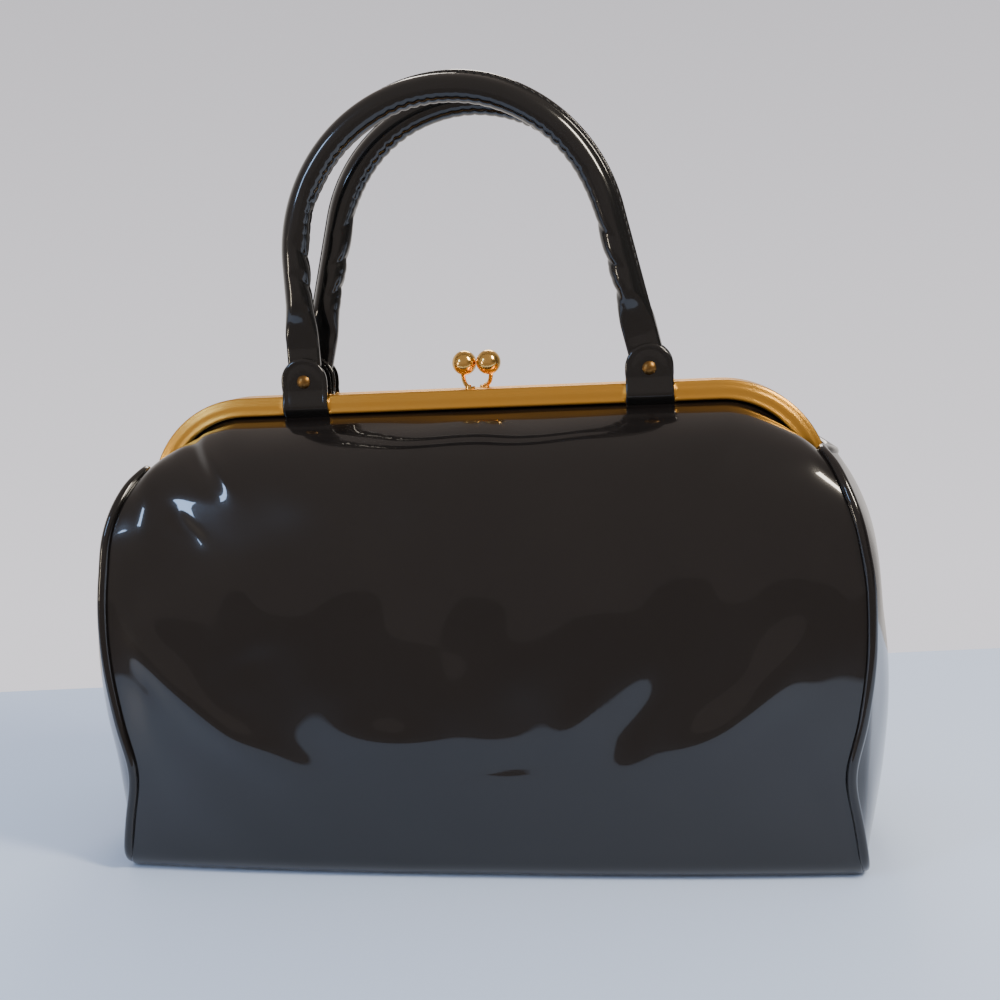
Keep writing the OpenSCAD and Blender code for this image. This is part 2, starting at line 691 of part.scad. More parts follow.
module handle(arch) {
    stations = roll_stations(arch);
    difference() {
        ring_wall([for (st = stations) roll_ring(st)], [for (st = stations) hollow_ring(st)]);
        for (side = [-1, 1])
            translate([side * handle_x, 0, rivet_rise]) rotate([90, 0, 0])
                cylinder(h = end_t + 2, r = rivet_r + running, center = true, $fn = 48);
    }
}

module handle_front() {
    color(vinyl_colour) on_neck() handle(front_arch);
}

module handle_back() {
    color(vinyl_colour) rotate([0, 0, 180]) on_neck() handle(back_arch);
}

// Rope core that fills the round part of the roll.
core_sides = 8;
module handle_core(arch) {
    tube([for (st = roll_stations(arch)) if (st[3] == 0) [st[0], 0, st[1]]], core_d / 2, core_sides, [0, 1, 0]);
}

module handle_core_front() {
    color(rope_colour) on_neck() handle_core(front_arch);
}

module handle_core_back() {
    color(rope_colour) rotate([0, 0, 180]) on_neck() handle_core(back_arch);
}

// Tab: vinyl looped round the neck, with a layer on each side of the handle's end.
module tab_layer(from, thick) {
    translate([0, from, 0]) rotate([-90, 0, 0]) linear_extrude(thick) difference() {
        union() {
            translate([-tab_w / 2, -rivet_rise]) square([tab_w, rivet_rise - layer_z]);
            translate([0, -rivet_rise]) circle(tab_w / 2, $fn = 96);
        }
        translate([-tab_w, -layer_z]) square([2 * tab_w, 2 * layer_z]);
        translate([0, -rivet_rise]) circle(rivet_r + running, $fn = 48);
    }
}

module tab() {
    multmatrix([[0, 0, 1, -tab_w / 2], [1, 0, 0, 0], [0, 1, 0, 0], [0, 0, 0, 1]])
        linear_extrude(tab_w) difference() {
            union() {
                circle(loop_out_r, $fn = 64);
                polygon([
                    [-loop_out_r, 0], [loop_out_r, 0],
                    [layer_in + tab_back_t, layer_z + eps], [-layer_in - tab_front_t, layer_z + eps]
                ]);
            }
            circle(loop_in_r, $fn = 64);
            polygon([[-loop_in_r, 0], [loop_in_r, 0], [layer_in, layer_z + 1], [-layer_in, layer_z + 1]]);
        }
    tab_layer(-layer_in - tab_front_t, tab_front_t);
    tab_layer(layer_in, tab_back_t);
}

module tab_front_left() {
    color(vinyl_colour) on_neck() translate([-handle_x, 0, 0]) tab();
}

module tab_front_right() {
    color(vinyl_colour) on_neck() translate([handle_x, 0, 0]) tab();
}

module tab_back_left() {
    color(vinyl_colour) rotate([0, 0, 180]) on_neck() translate([handle_x, 0, 0]) tab();
}

module tab_back_right() {
    color(vinyl_colour) rotate([0, 0, 180]) on_neck() translate([-handle_x, 0, 0]) tab();
}

// Rivet through the tab and the handle's end, with a domed head outside and a washer inside.
head_h = 1.5;
head_sphere_r = (rivet_head_r * rivet_head_r + head_h * head_h) / (2 * head_h);
module rivet() {
    outer = layer_in + tab_front_t;
    inner = layer_in + tab_back_t;
    translate([0, 0, rivet_rise]) rotate([90, 0, 0]) {
        translate([0, 0, -inner - washer_t - 2 * seat - eps])
            cylinder(h = outer + inner + washer_t + 3 * seat + 2 * eps, r = rivet_r, $fn = 48);
        translate([0, 0, -inner - washer_t - 2 * seat - clinch_t]) cylinder(h = clinch_t, r = rivet_r + 0.7, $fn = 48);
        translate([0, 0, outer + seat]) intersection() {
            translate([0, 0, head_h - head_sphere_r]) sphere(head_sphere_r, $fn = 64);
            cylinder(h = 2 * head_h, r = rivet_head_r, $fn = 64);
        }
    }
}

module washer() {
    translate([0, layer_in + tab_back_t + seat, rivet_rise]) rotate([-90, 0, 0]) difference() {
        cylinder(h = washer_t, r = washer_r, $fn = 48);
        translate([0, 0, -1]) cylinder(h = washer_t + 2, r = rivet_r + running, $fn = 48);
    }
}

module rivet_front_left() {
    color(brass_colour) on_neck() translate([-handle_x, 0, 0]) rivet();
}

module rivet_front_right() {
    color(brass_colour) on_neck() translate([handle_x, 0, 0]) rivet();
}

module rivet_back_left() {
    color(brass_colour) rotate([0, 0, 180]) on_neck() translate([handle_x, 0, 0]) rivet();
}

module rivet_back_right() {
    color(brass_colour) rotate([0, 0, 180]) on_neck() translate([-handle_x, 0, 0]) rivet();
}

module washer_front_left() {
    color(brass_colour) on_neck() translate([-handle_x, 0, 0]) washer();
}

module washer_front_right() {
    color(brass_colour) on_neck() translate([handle_x, 0, 0]) washer();
}

module washer_back_left() {
    color(brass_colour) rotate([0, 0, 180]) on_neck() translate([handle_x, 0, 0]) washer();
}

module washer_back_right() {
    color(brass_colour) rotate([0, 0, 180]) on_neck() translate([-handle_x, 0, 0]) washer();
}

main_panel();
gusset_left();
gusset_right();
piping_left();
piping_right();
base_board();
lining();
frame_front();
frame_back();
panel_front_upper();
panel_back_upper();
knob_front();
knob_back();
hinge_rivet_left();
hinge_rivet_right();
handle_front();
handle_back();
handle_core_front();
handle_core_back();
tab_front_left();
tab_front_right();
tab_back_left();
tab_back_right();
rivet_front_left();
rivet_front_right();
rivet_back_left();
rivet_back_right();
washer_front_left();
washer_front_right();
washer_back_left();
washer_back_right();
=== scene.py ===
# %% [markdown]
# # A patent handbag with a kiss lock frame
# The frame, the knobs, the rivets, the hinge and the board in the bottom come straight from the CAD
# model and only get their finish here. Everything soft is made again: the lacquered vinyl of the bag,
# its piping, the lining, the rolled handles with their ropes, and the tabs that hold them. All sizes
# are worked out in millimetres, as a bag maker would, and turned to metres when a mesh is made.

# %% Load the fixed frame
import math

import bpy
import numpy as np
from mathutils import Matrix, Vector


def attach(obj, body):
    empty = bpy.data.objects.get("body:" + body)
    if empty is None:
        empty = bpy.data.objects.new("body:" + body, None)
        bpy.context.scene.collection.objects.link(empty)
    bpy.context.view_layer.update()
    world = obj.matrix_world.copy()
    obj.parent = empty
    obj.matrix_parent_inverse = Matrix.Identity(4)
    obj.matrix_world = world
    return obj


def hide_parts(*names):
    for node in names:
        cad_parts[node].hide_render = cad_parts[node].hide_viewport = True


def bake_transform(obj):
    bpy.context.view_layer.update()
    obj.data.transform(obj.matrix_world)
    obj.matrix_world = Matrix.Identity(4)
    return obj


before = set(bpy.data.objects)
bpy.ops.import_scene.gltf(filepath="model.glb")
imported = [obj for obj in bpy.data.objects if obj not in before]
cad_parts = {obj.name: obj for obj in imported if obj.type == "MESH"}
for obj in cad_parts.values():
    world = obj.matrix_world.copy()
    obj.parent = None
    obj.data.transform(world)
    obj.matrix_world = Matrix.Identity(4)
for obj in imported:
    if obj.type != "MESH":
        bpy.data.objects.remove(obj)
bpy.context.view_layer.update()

# %% [markdown]
# The photograph was taken from a little to the right of the bag and a little above it, with the
# camera tilted by less than three degrees. A lens of 45 mm on a 36 mm sensor gives the same
# perspective as the frame's width, the knobs and the bottom corners show together.

# %% The camera
MM = 0.001
LENS_MM = 45
SENSOR_MM = 36
CAMERA_AT = np.array([86.36, -556.60, 235.22])
LOOK_AT = np.array([7.74, 0.0, 153.92])
CAMERA_ROLL = math.radians(-2.72)


def add_camera():
    data = bpy.data.cameras.new("camera")
    data.lens = LENS_MM
    data.sensor_width = SENSOR_MM
    data.clip_start = 10 * MM
    camera = bpy.data.objects.new("camera", data)
    bpy.context.scene.collection.objects.link(camera)
    back = Vector(CAMERA_AT - LOOK_AT).normalized()
    right = Vector((0, 0, 1)).cross(back).normalized()
    up = back.cross(right)
    rolled_right = right * math.cos(CAMERA_ROLL) + up * math.sin(CAMERA_ROLL)
    rolled_up = up * math.cos(CAMERA_ROLL) - right * math.sin(CAMERA_ROLL)
    turn = Matrix((rolled_right, rolled_up, back)).transposed().to_4x4()
    camera.matrix_world = Matrix.Translation(Vector(CAMERA_AT) * MM) @ turn
    bpy.context.scene.camera = camera


add_camera()

# %% [markdown]
# Every colour is written as the hex value that a screen shows. Shaders work in linear light, so one
# function turns a hex value into linear numbers. Nodes are added by one small function as well: it
# takes the node's type, its settings, the values of its sockets and the links that feed them.

# %% Colour and node helpers
def linear(hex_colour, alpha=1.0):
    channels = [int(hex_colour[i:i + 2], 16) / 255 for i in (1, 3, 5)]
    return [c / 12.92 if c <= 0.04045 else ((c + 0.055) / 1.055) ** 2.4 for c in channels] + [alpha]


def add_node(tree, kind, settings=None, values=None, links=None):
    made = tree.nodes.new(kind)
    for name, value in (settings or {}).items():
        setattr(made, name, value)
    for socket, value in (values or {}).items():
        made.inputs[socket].default_value = value
    for socket, source in (links or {}).items():
        tree.links.new(source, made.inputs[socket])
    return made


def new_material(name, values):
    material = bpy.data.materials.new(name)
    material.use_nodes = True
    shader = material.node_tree.nodes["Principled BSDF"]
    for socket, value in values.items():
        shader.inputs[socket].default_value = value
    return material, material.node_tree, shader


def feed(tree, shader, links):
    for socket, source in links.items():
        tree.links.new(source, shader.inputs[socket])

# %% [markdown]
# Patent vinyl is a cloth coated with soft PVC under a layer of clear lacquer. The lacquer is what the
# eye sees: a nearly black ground with sharp reflections on top. It is never quite flat, so a slow
# waviness bends the reflections, and a finer orange peel breaks up the softer shine under the coat.
# The handles are rolled from the same vinyl, but bending it has dulled its lacquer a little.

# %% Material: black patent vinyl
TINT_PATCH_MM = 60
SLOW_WAVE_MM = 45
ORANGE_PEEL_MM = 2.2


def patent_vinyl(name, ground, coat_roughness):
    material, tree, shader = new_material(name, {
        "Roughness": 0.22,
        "IOR": 1.5,
        "Specular IOR Level": 0.2,
        "Coat Weight": 1.0,
        "Coat Roughness": coat_roughness,
        "Coat IOR": 1.52,
    })
    place = add_node(tree, "ShaderNodeTexCoord").outputs["Object"]
    cloud, slow, peel = [
        add_node(tree, "ShaderNodeTexNoise", values={"Scale": 1 / (size * MM), "Detail": detail},
                 links={"Vector": place})
        for size, detail in ((TINT_PATCH_MM, 3.0), (SLOW_WAVE_MM, 1.0), (ORANGE_PEEL_MM, 2.0))]
    tint = add_node(tree, "ShaderNodeMix", {"data_type": "RGBA"},
                    {6: linear(ground[0]), 7: linear(ground[1])}, {0: cloud.outputs["Fac"]})
    wave = add_node(tree, "ShaderNodeBump", values={"Strength": 0.22, "Distance": 2 * MM},
                    links={"Height": slow.outputs["Fac"]})
    skin = add_node(tree, "ShaderNodeBump", values={"Strength": 0.05, "Distance": 0.1 * MM},
                    links={"Height": peel.outputs["Fac"], "Normal": wave.outputs["Normal"]})
    feed(tree, shader, {"Base Color": tint.outputs[2], "Normal": skin.outputs["Normal"],
                        "Coat Normal": wave.outputs["Normal"]})
    return material


vinyl = patent_vinyl("black_patent_vinyl", ("#0c0a0a", "#141110"), 0.022)
handle_vinyl = patent_vinyl("patent_vinyl_roll", ("#0b0b0c", "#12110f"), 0.05)

# %% [markdown]
# The frame is steel plated with brass and a thin gold wash. Plating copies the polish of the metal
# under it, so the surface is smooth and only clouded by wear: the gold is deepest where no hand has
# rubbed it. The bar of a real frame is rolled and has a domed face. The solid has a flat face with a
# bead along its edge, so a bevel in the shader rounds the way the face catches the light. The balls
# are polished brighter than the bar, and the rivets are plain brass that has darkened with age. A
# metal keeps Blender's default IOR.

# %% Materials: gold plate and aged brass
PLATE_GRAIN_MM = 0.6
BAR_DOME_MM = 2.4


def plated(name, colours, rough, patch_mm, dome_mm=0.0):
    material, tree, shader = new_material(name, {"Metallic": 1.0})
    place = add_node(tree, "ShaderNodeTexCoord").outputs["Object"]
    patch, grain = [
        add_node(tree, "ShaderNodeTexNoise", values={"Scale": 1 / (size * MM), "Detail": detail},
                 links={"Vector": place})
        for size, detail in ((patch_mm, 4.0), (PLATE_GRAIN_MM, 2.0))]
    tint = add_node(tree, "ShaderNodeMix", {"data_type": "RGBA"},
                    {6: linear(colours[0]), 7: linear(colours[1])}, {0: patch.outputs["Fac"]})
    gloss = add_node(tree, "ShaderNodeMapRange", values={"To Min": rough[0], "To Max": rough[1]},
                     links={"Value": patch.outputs["Fac"]})
    bump = add_node(tree, "ShaderNodeBump", values={"Strength": 0.015, "Distance": 0.1 * MM},
                    links={"Height": grain.outputs["Fac"]})
    if dome_mm:
        dome = add_node(tree, "ShaderNodeBevel", {"samples": 8}, {"Radius": dome_mm * MM})
        tree.links.new(dome.outputs["Normal"], bump.inputs["Normal"])
    feed(tree, shader, {"Base Color": tint.outputs[2], "Roughness": gloss.outputs["Result"],
                        "Normal": bump.outputs["Normal"]})
    return material


gold = plated("gold_plated_steel", ("#fdc25c", "#f5b34a"), (0.24, 0.36), 14, BAR_DOME_MM)
bright_gold = plated("polished_gold_plate", ("#fbd080", "#efbb62"), (0.12, 0.2), 6)
aged_brass = plated("antique_brass", ("#a27c46", "#6f5230"), (0.28, 0.5), 1.5)

# %% [markdown]
# Inside, the bag is lined with a plain woven cotton. Two crossed wave patterns give the over and
# under of warp and weft. A real thread of 0.3 mm is too fine to show from here, so the weave is drawn
# with threads of 0.8 mm. The same pattern, coarser, gives the pressed grain of the greyboard in the
# bottom and the twist of the rope in the handles.

# %% Materials: lining cloth, board and rope
WAVE_REPEAT = 0.314  # a wave texture of scale 1 repeats after this many units
WEAVE_MM = 0.8
BOARD_GRAIN_MM = 3.0
ROPE_YARN_MM = 1.6


def woven(name, colours, rough, thread_mm, weave_depth):
    cloth = {"Roughness": rough, "Sheen Weight": 0.25, "Sheen Roughness": 0.5}
    material, tree, shader = new_material(name, cloth)
    place = add_node(tree, "ShaderNodeTexCoord").outputs["Object"]
    thread_scale = WAVE_REPEAT / (thread_mm * MM)
    bands = [add_node(tree, "ShaderNodeTexWave", {"bands_direction": way},
                      {"Scale": thread_scale, "Distortion": 0.6, "Detail": 1.0}, {"Vector": place})
             for way in ("X", "Z")]
    cross = add_node(tree, "ShaderNodeMath", {"operation": "MULTIPLY"},
                     links={0: bands[0].outputs["Fac"], 1: bands[1].outputs["Fac"]})
    tint = add_node(tree, "ShaderNodeMix", {"data_type": "RGBA"},
                    {6: linear(colours[0]), 7: linear(colours[1])}, {0: cross.outputs[0]})
    bump = add_node(tree, "ShaderNodeBump", values={"Strength": 0.5, "Distance": weave_depth * MM},
                    links={"Height": cross.outputs[0]})
    feed(tree, shader, {"Base Color": tint.outputs[2], "Normal": bump.outputs["Normal"]})
    return material


lining_cotton = woven("woven_cotton_lining", ("#3a3530", "#57504a"), 0.85, WEAVE_MM, 0.2)
greyboard = woven("pressed_greyboard", ("#7c6a54", "#937f66"), 0.9, BOARD_GRAIN_MM, 0.1)
rope_cotton = woven("twisted_cotton_rope", ("#bfb296", "#d8ccb0"), 0.9, ROPE_YARN_MM, 0.5)

# %% Finish the solids that stay as they are
finishes = {"frame_front": gold, "frame_back": gold, "knob_front": bright_gold, "knob_back": bright_gold,
            "base_board": greyboard}
for side in ("left", "right"):
    finishes["hinge_rivet_" + side] = gold
    for face in ("front", "back"):
        finishes[f"rivet_{face}_{side}"] = aged_brass
        finishes[f"washer_{face}_{side}"] = aged_brass
for node, material in finishes.items():
    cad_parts[node].data.materials.clear()
    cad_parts[node].data.materials.append(material)
print("solids with a new finish:", len(finishes))

# %% [markdown]
# A soft bag is drawn best by a few curves: how far apart the seams are at each height, how deep the
# bag is at the middle, and how deep at the seams. These are the curves of the CAD model, because
# the finished vinyl has to stay in the space that its solid holds. Each row below is a height and
# the half width or half depth there.

# %% The bag's form, by height
FOOT_R = 9
SEAM_X = [(0, 158), (24, 154), (44, 150), (65, 153.5), (95, 157), (122, 157), (150, 153.5)]
SEAM_Y = [(0, 57), (50, 56), (110, 55), (150, 52)]
DEPTH = [(0, 61), (25, 64), (50, 65), (80, 64), (115, 61.75), (150, 58.5)]
CROWN_POWER = 2.6


def curve_at(table, height):
    """A smooth curve through the rows of a table, read at one height or at many."""
    heights = np.array([row[0] for row in table], float)
    values = np.array([row[1] for row in table], float)
    slopes = np.gradient(values, heights)
    slopes[0] = (values[1] - values[0]) / (heights[1] - heights[0])
    slopes[-1] = (values[-1] - values[-2]) / (heights[-1] - heights[-2])
    h = np.clip(np.asarray(height, float), heights[0], heights[-1])
    i = np.clip(np.searchsorted(heights, h, side="right") - 1, 0, len(heights) - 2)
    span = heights[i + 1] - heights[i]
    t = (h - heights[i]) / span
    return (values[i] * (1 + 2 * t) * (1 - t) ** 2 + slopes[i] * span * t * (1 - t) ** 2
            + values[i + 1] * t * t * (3 - 2 * t) + slopes[i + 1] * span * t * t * (t - 1))


def panel_depth(s, z):
    """Half depth of the bag, from s -1 at the left seam over 0 in the middle to 1 at the right."""
    seam = curve_at(SEAM_Y, z)
    return seam + (curve_at(DEPTH, z) - seam) * (1 - np.abs(s) ** CROWN_POWER)


def smooth(t):
    """Eases from 0 to 1, and stays there."""
    t = np.clip(t, 0, 1)
    return t * t * (3 - 2 * t)

# %% [markdown]
# Every soft piece is a grid of points: rows down the bag or along the handle, and columns across. A
# sheet is two grids a vinyl's thickness apart, closed round its rim. A roll is a row of rings with a
# cap at each end. Both are closed meshes, with a real thickness from every side.

# %% Mesh helpers
def make_piece(name, points, faces, material, body, replaced=(), lined=()):
    mesh = bpy.data.meshes.new(name)
    mesh.from_pydata([tuple(p) for p in np.asarray(points, float) * MM], [], faces)
    mesh.materials.append(material)
    if lined:
        mesh.materials.append(lining_cotton)
    for k in lined:
        mesh.polygons[k].material_index = 1
    mesh.validate()
    mesh.polygons.foreach_set("use_smooth", [True] * len(mesh.polygons))
    mesh.update()
    piece = bpy.data.objects.new(name, mesh)
    bpy.context.scene.collection.objects.link(piece)
    if body:
        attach(piece, body)
    if replaced:
        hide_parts(*replaced)
    print(name, len(mesh.vertices), "points")
    return piece


def grid_normals(grid):
    normal = np.cross(np.gradient(grid, axis=0), np.gradient(grid, axis=1))
    return normal / np.maximum(np.linalg.norm(normal, axis=2, keepdims=True), 1e-9)


def grid_faces(rows, cols, start=0, wrap=False, flip=False):
    faces = []
    for i in range(rows - 1):
        for j in range(cols if wrap else cols - 1):
            k = (j + 1) % cols
            face = (i * cols + j, (i + 1) * cols + j, (i + 1) * cols + k, i * cols + k)
            faces.append(tuple(start + v for v in (reversed(face) if flip else face)))
    return faces


def closed_sheet(outer, inner):
    rows, cols = outer.shape[:2]
    count = rows * cols
    faces = grid_faces(rows, cols) + grid_faces(rows, cols, count, flip=True)
    rim = [i * cols for i in range(rows)] + [(rows - 1) * cols + j for j in range(1, cols)]
    rim += [i * cols + cols - 1 for i in range(rows - 2, -1, -1)] + list(range(cols - 2, 0, -1))
    for a, b in zip(rim, rim[1:] + rim[:1]):
        faces.append((b, a, a + count, b + count))
    return np.concatenate([outer.reshape(-1, 3), inner.reshape(-1, 3)]), faces


def lined_faces(rows, cols):
    """The faces on the inner side of a closed sheet."""
    count = (rows - 1) * (cols - 1)
    return range(count, 2 * count)


def swept(rings):
    rows, cols = rings.shape[:2]
    faces = grid_faces(rows, cols, wrap=True)
    faces.append(tuple(range(cols)))
    faces.append(tuple((rows - 1) * cols + k for k in reversed(range(cols))))
    return rings.reshape(-1, 3), faces


def half_turned(points):
    """The same form on the other side of the bag: half a turn about the upright axis."""
    return np.asarray(points, float) * np.array([-1.0, -1.0, 1.0])

# %% [markdown]
# The front and the back of the bag are one long piece of vinyl that runs under the bottom. It rises
# over a soft shoulder and disappears in the channel of the frame. The sheet is built in columns:
# each runs from the channel over the shoulder, down the wall and round the foot to the middle of the
# bottom. Near the frame's two ends the stiff vinyl can't follow the arch, so it stands up in a fold.
# The seam beside the outermost columns is one line that the gusset and the piping follow as well.

# %% The frame's arch and the seam over the shoulder
STRAIGHT_HALF = 107
CORNER_Z = 159
ARM_END_Z = 160.5
PIPING_R = 2.2
SEAM_TOP = [(156.0, -53.2, 140), (156.0, -51.0, 152), (154.5, -46.5, 162), (151.0, -38.5, 171),
            (146.4, -28.5, 176.2)]


def arch_point(way, radius):
    """way 0 is the arm's end, 1 where the arm bends, 2 the top of the shoulder, 3 the middle."""
    angle = np.radians(np.clip(way - 1, 0, 1) * 90)
    x = np.where(way < 1, STRAIGHT_HALF + radius, STRAIGHT_HALF + radius * np.cos(angle))
    z = np.where(way < 1, ARM_END_Z + (CORNER_Z - ARM_END_Z) * way, CORNER_Z + radius * np.sin(angle))
    x = np.where(way > 2, STRAIGHT_HALF * (3 - way), x)
    return x, z


def resample(path, step=None, count=None):
    path = np.asarray(path, float)
    run = np.concatenate([[0], np.cumsum(np.linalg.norm(np.diff(path, axis=0), axis=1))])
    marks = np.linspace(0, run[-1], count or max(2, int(round(run[-1] / step)) + 1))
    return np.stack([np.interp(marks, run, path[:, k]) for k in range(3)], -1)


def relaxed(path, times):
    path = np.array(path, float)
    for _ in range(times):
        path[1:-1] = (path[:-2] + 2 * path[1:-1] + path[2:]) / 4
    return path


def seam_line(low_z, step=2.0):
    """The front right seam, from low_z up the side and over the shoulder."""
    z = np.arange(low_z, SEAM_TOP[0][2] - 2, step)
    wall = np.stack([curve_at(SEAM_X, z), -curve_at(SEAM_Y, z), z], -1)
    return relaxed(resample(np.concatenate([wall, SEAM_TOP]), step=step), 8)

# %% [markdown]
# A filled bag settles, and in the photograph both seams stand further out than in a drawn pattern,
# the right one most. So each soft piece of the bag's shell passes through one function that moves its
# sides, fully at mid height and not at all at the frame. The vinyl also has slow waves all over, and
# single folds where it is gathered under the shoulders and near the bottom corners. Each fold is a
# long soft ridge, or a groove where its height is negative.

# %% How the vinyl settles and folds
SIDE_X = [0, 110, 157, 178]  # middle, where the side begins, seam, belly of the gusset
SETTLED_SIDES = [(-1, 4.0, 4.5), (1, 6.0, -2.0)]  # side, seam moves out, belly moves out
SETTLED_FOOT = 0.45
SETTLED_Z = 70
HELD_Z = 168
FOLDS = [  # place x, place z, half length, half width, lean in degrees, height
    (-121, 181, 14, 4.0, -48, -2.2), (-113, 179, 14, 3.5, -42, 1.7), (-141, 164, 20, 7, -78, 1.2),
    (-124, 156, 7, 3.5, -50, -1.0), (-117, 150, 6, 3, -40, -0.8),
    (-96, 94, 14, 7, 25, -0.7), (-128, 86, 28, 7, -48, 1.7), (-104, 62, 34, 9, -28, 1.4),
    (122, 88, 26, 9, 58, 1.4), (104, 66, 26, 8, 32, 1.3), (70, 74, 20, 7, 62, -0.9),
    (45, 70, 18, 6, 60, 0.8), (10, 52, 30, 6, 4, -0.9), (-30, 62, 26, 8, -8, 0.7),
]
BACK_SHIFT = (31, 9)  # the back has the same folds in other places


def settled(points):
    """The same points with both sides of the bag moved as the vinyl has settled."""
    points = np.array(points, float)
    x, z = points[..., 0], points[..., 2]
    share = (SETTLED_FOOT + (1 - SETTLED_FOOT) * smooth(z / SETTLED_Z)) * smooth((HELD_Z - z) / 40)
    for side, seam, belly in SETTLED_SIDES:
        moved = np.interp(np.abs(x), SIDE_X, np.add(SIDE_X, [0, 0, seam, belly])) * side
        x[:] = np.where(x * side > 0, x + (moved - x) * share, x)
    return points


def folds(x, z):
    """Height of the vinyl's waves and folds above the plain form, in millimetres."""
    wave = 0.35 * np.sin(x / 17 + z / 29 + 1.1) + 0.3 * np.sin(x / 23 - z / 15 + 0.4)
    wave += 0.16 * np.sin(x / 7.3 + z / 11 + 2.0) + 0.12 * np.sin(z / 6.1 - x / 9.7 + 0.7)
    for at_x, at_z, long, wide, lean, height in FOLDS:
        c, n = math.cos(math.radians(lean)), math.sin(math.radians(lean))
        run = ((x - at_x) * c + (z - at_z) * n) / long
        off = (-(x - at_x) * n + (z - at_z) * c) / wide
        wave = wave + height * np.exp(-run ** 2 - off ** 2)
    return wave


def folded(grid, s, turned):
    """The sheet with its folds, which fade out at the frame, the seams and the foot."""
    normal = grid_normals(grid)
    x, z = grid[..., 0], grid[..., 2]
    lift = folds(BACK_SHIFT[0] - x, z + BACK_SHIFT[1]) if turned else folds(x, z)
    below_frame = smooth((np.arange(len(grid))[:, None] - 1) / 8)
    calm = smooth((z - 3) / 26) * below_frame * smooth((1.0 - np.abs(s)) / 0.10)
    outward = np.where(normal[..., 1:2] > 0, -1, 1)
    return grid + normal * (lift * calm)[..., None] * outward

# %% Rows of the front sheet
CHANNEL_R = 37.5
CHANNEL_Y = 7.3
TUCKED_IN = 3.5
LEAD_Y = 12.9
LEAD_DROP = 2.0
KNEE_REACH = 0.70
BROW_REACH = 0.45
VINYL_T = 1.2
SEAM_INSET = 0.6 * PIPING_R
SEAM_WAY = 1.37
TOP_SHARE = 0.64
WALL_TOP_Z = 128
SHEET_COLS = 141
CAP_ROWS = 46
WALL_ROWS = 64
FOOT_ROWS = 9
SOLE_ROWS = 9
SHEET_ROWS = 2 + CAP_ROWS + WALL_ROWS + FOOT_ROWS + SOLE_ROWS + 1


def arch_way(s):
    """Where on the frame's arch each column starts: most of them along its straight top."""
    far = np.abs(s)
    corner = 2 - (far - TOP_SHARE) / (1 - TOP_SHARE) * (2 - SEAM_WAY)
    return np.where(far < TOP_SHARE, 3 - far / TOP_SHARE, corner)


def wall_row(s, z):
    return np.stack([s * (curve_at(SEAM_X, z) - SEAM_INSET), -panel_depth(s, z), z + 0 * s], -1)


def shoulder_seam(start):
    """The outermost column of the shoulder: along the seam, and in under the frame's arm."""
    seam = seam_line(WALL_TOP_Z) + np.array([-SEAM_INSET, 0, 0])
    entry = [[start[0] + 3, -16.5, start[2] - 0.3], start]
    return relaxed(resample(np.concatenate([seam, entry]), count=CAP_ROWS + 1), 6)[::-1]


def cap_rows(s):
    """Rows from the channel over the shoulder, as a curve with two handles for each column."""
    way = arch_way(s)
    side = np.sign(s)
    deep_x, deep_z = arch_point(way, CHANNEL_R + TUCKED_IN)
    mouth_x, mouth_z = arch_point(way, CHANNEL_R - 0.4)
    lead_x, lead_z = arch_point(way, CHANNEL_R - LEAD_DROP)
    rows = [np.stack([side * deep_x, -CHANNEL_Y + 0 * s, deep_z], -1),
            np.stack([side * mouth_x, -CHANNEL_Y + 0 * s, mouth_z], -1)]
    start = np.stack([side * lead_x, -LEAD_Y + 0 * s, lead_z], -1)
    finish = wall_row(s, WALL_TOP_Z)
    up = finish - wall_row(s, WALL_TOP_Z - 8)
    up = up / np.linalg.norm(up, axis=1, keepdims=True)
    knee = finish + up * (start[:, 2:] - finish[:, 2:]) * KNEE_REACH
    edge = smooth((np.abs(s) - 0.72) / 0.28)
    out = np.stack([side * 0.12, -0.9 + 0 * s, -0.30 + 0.2 * edge], -1)
    brow = start + out * np.linalg.norm(start - knee, axis=1, keepdims=True) * BROW_REACH
    seam = shoulder_seam(start[-1])
    hold = smooth((np.abs(s) - 0.70) / 0.30)[:, None] * np.stack([side, 1 + 0 * s, 1 + 0 * s], -1)
    for i in range(CAP_ROWS):
        t = i / CAP_ROWS
        plain = (start * (1 - t) ** 3 + brow * 3 * t * (1 - t) ** 2
                 + knee * 3 * t * t * (1 - t) + finish * t ** 3)
        rows.append(plain + hold * (seam[i] - plain[-1]))
    return rows


def lower_rows(s):
    """Rows down the wall, round the foot and in to the middle of the bottom."""
    drop = WALL_TOP_Z - FOOT_R
    rows = [wall_row(s, WALL_TOP_Z - drop * i / WALL_ROWS) for i in range(WALL_ROWS)]
    foot_y = -panel_depth(s, FOOT_R)
    for a in np.arange(FOOT_ROWS) * math.pi / 2 / FOOT_ROWS:
        z = FOOT_R * (1 - math.sin(a))
        x = s * (curve_at(SEAM_X, z) - SEAM_INSET)
        rows.append(np.stack([x, foot_y + FOOT_R * (1 - math.cos(a)), z + 0 * s], -1))
    for share in np.linspace(1, 0, SOLE_ROWS + 1):
        x = s * (curve_at(SEAM_X, 0) - SEAM_INSET)
        rows.append(np.stack([x, (foot_y + FOOT_R) * share, 0 * s], -1))
    return rows


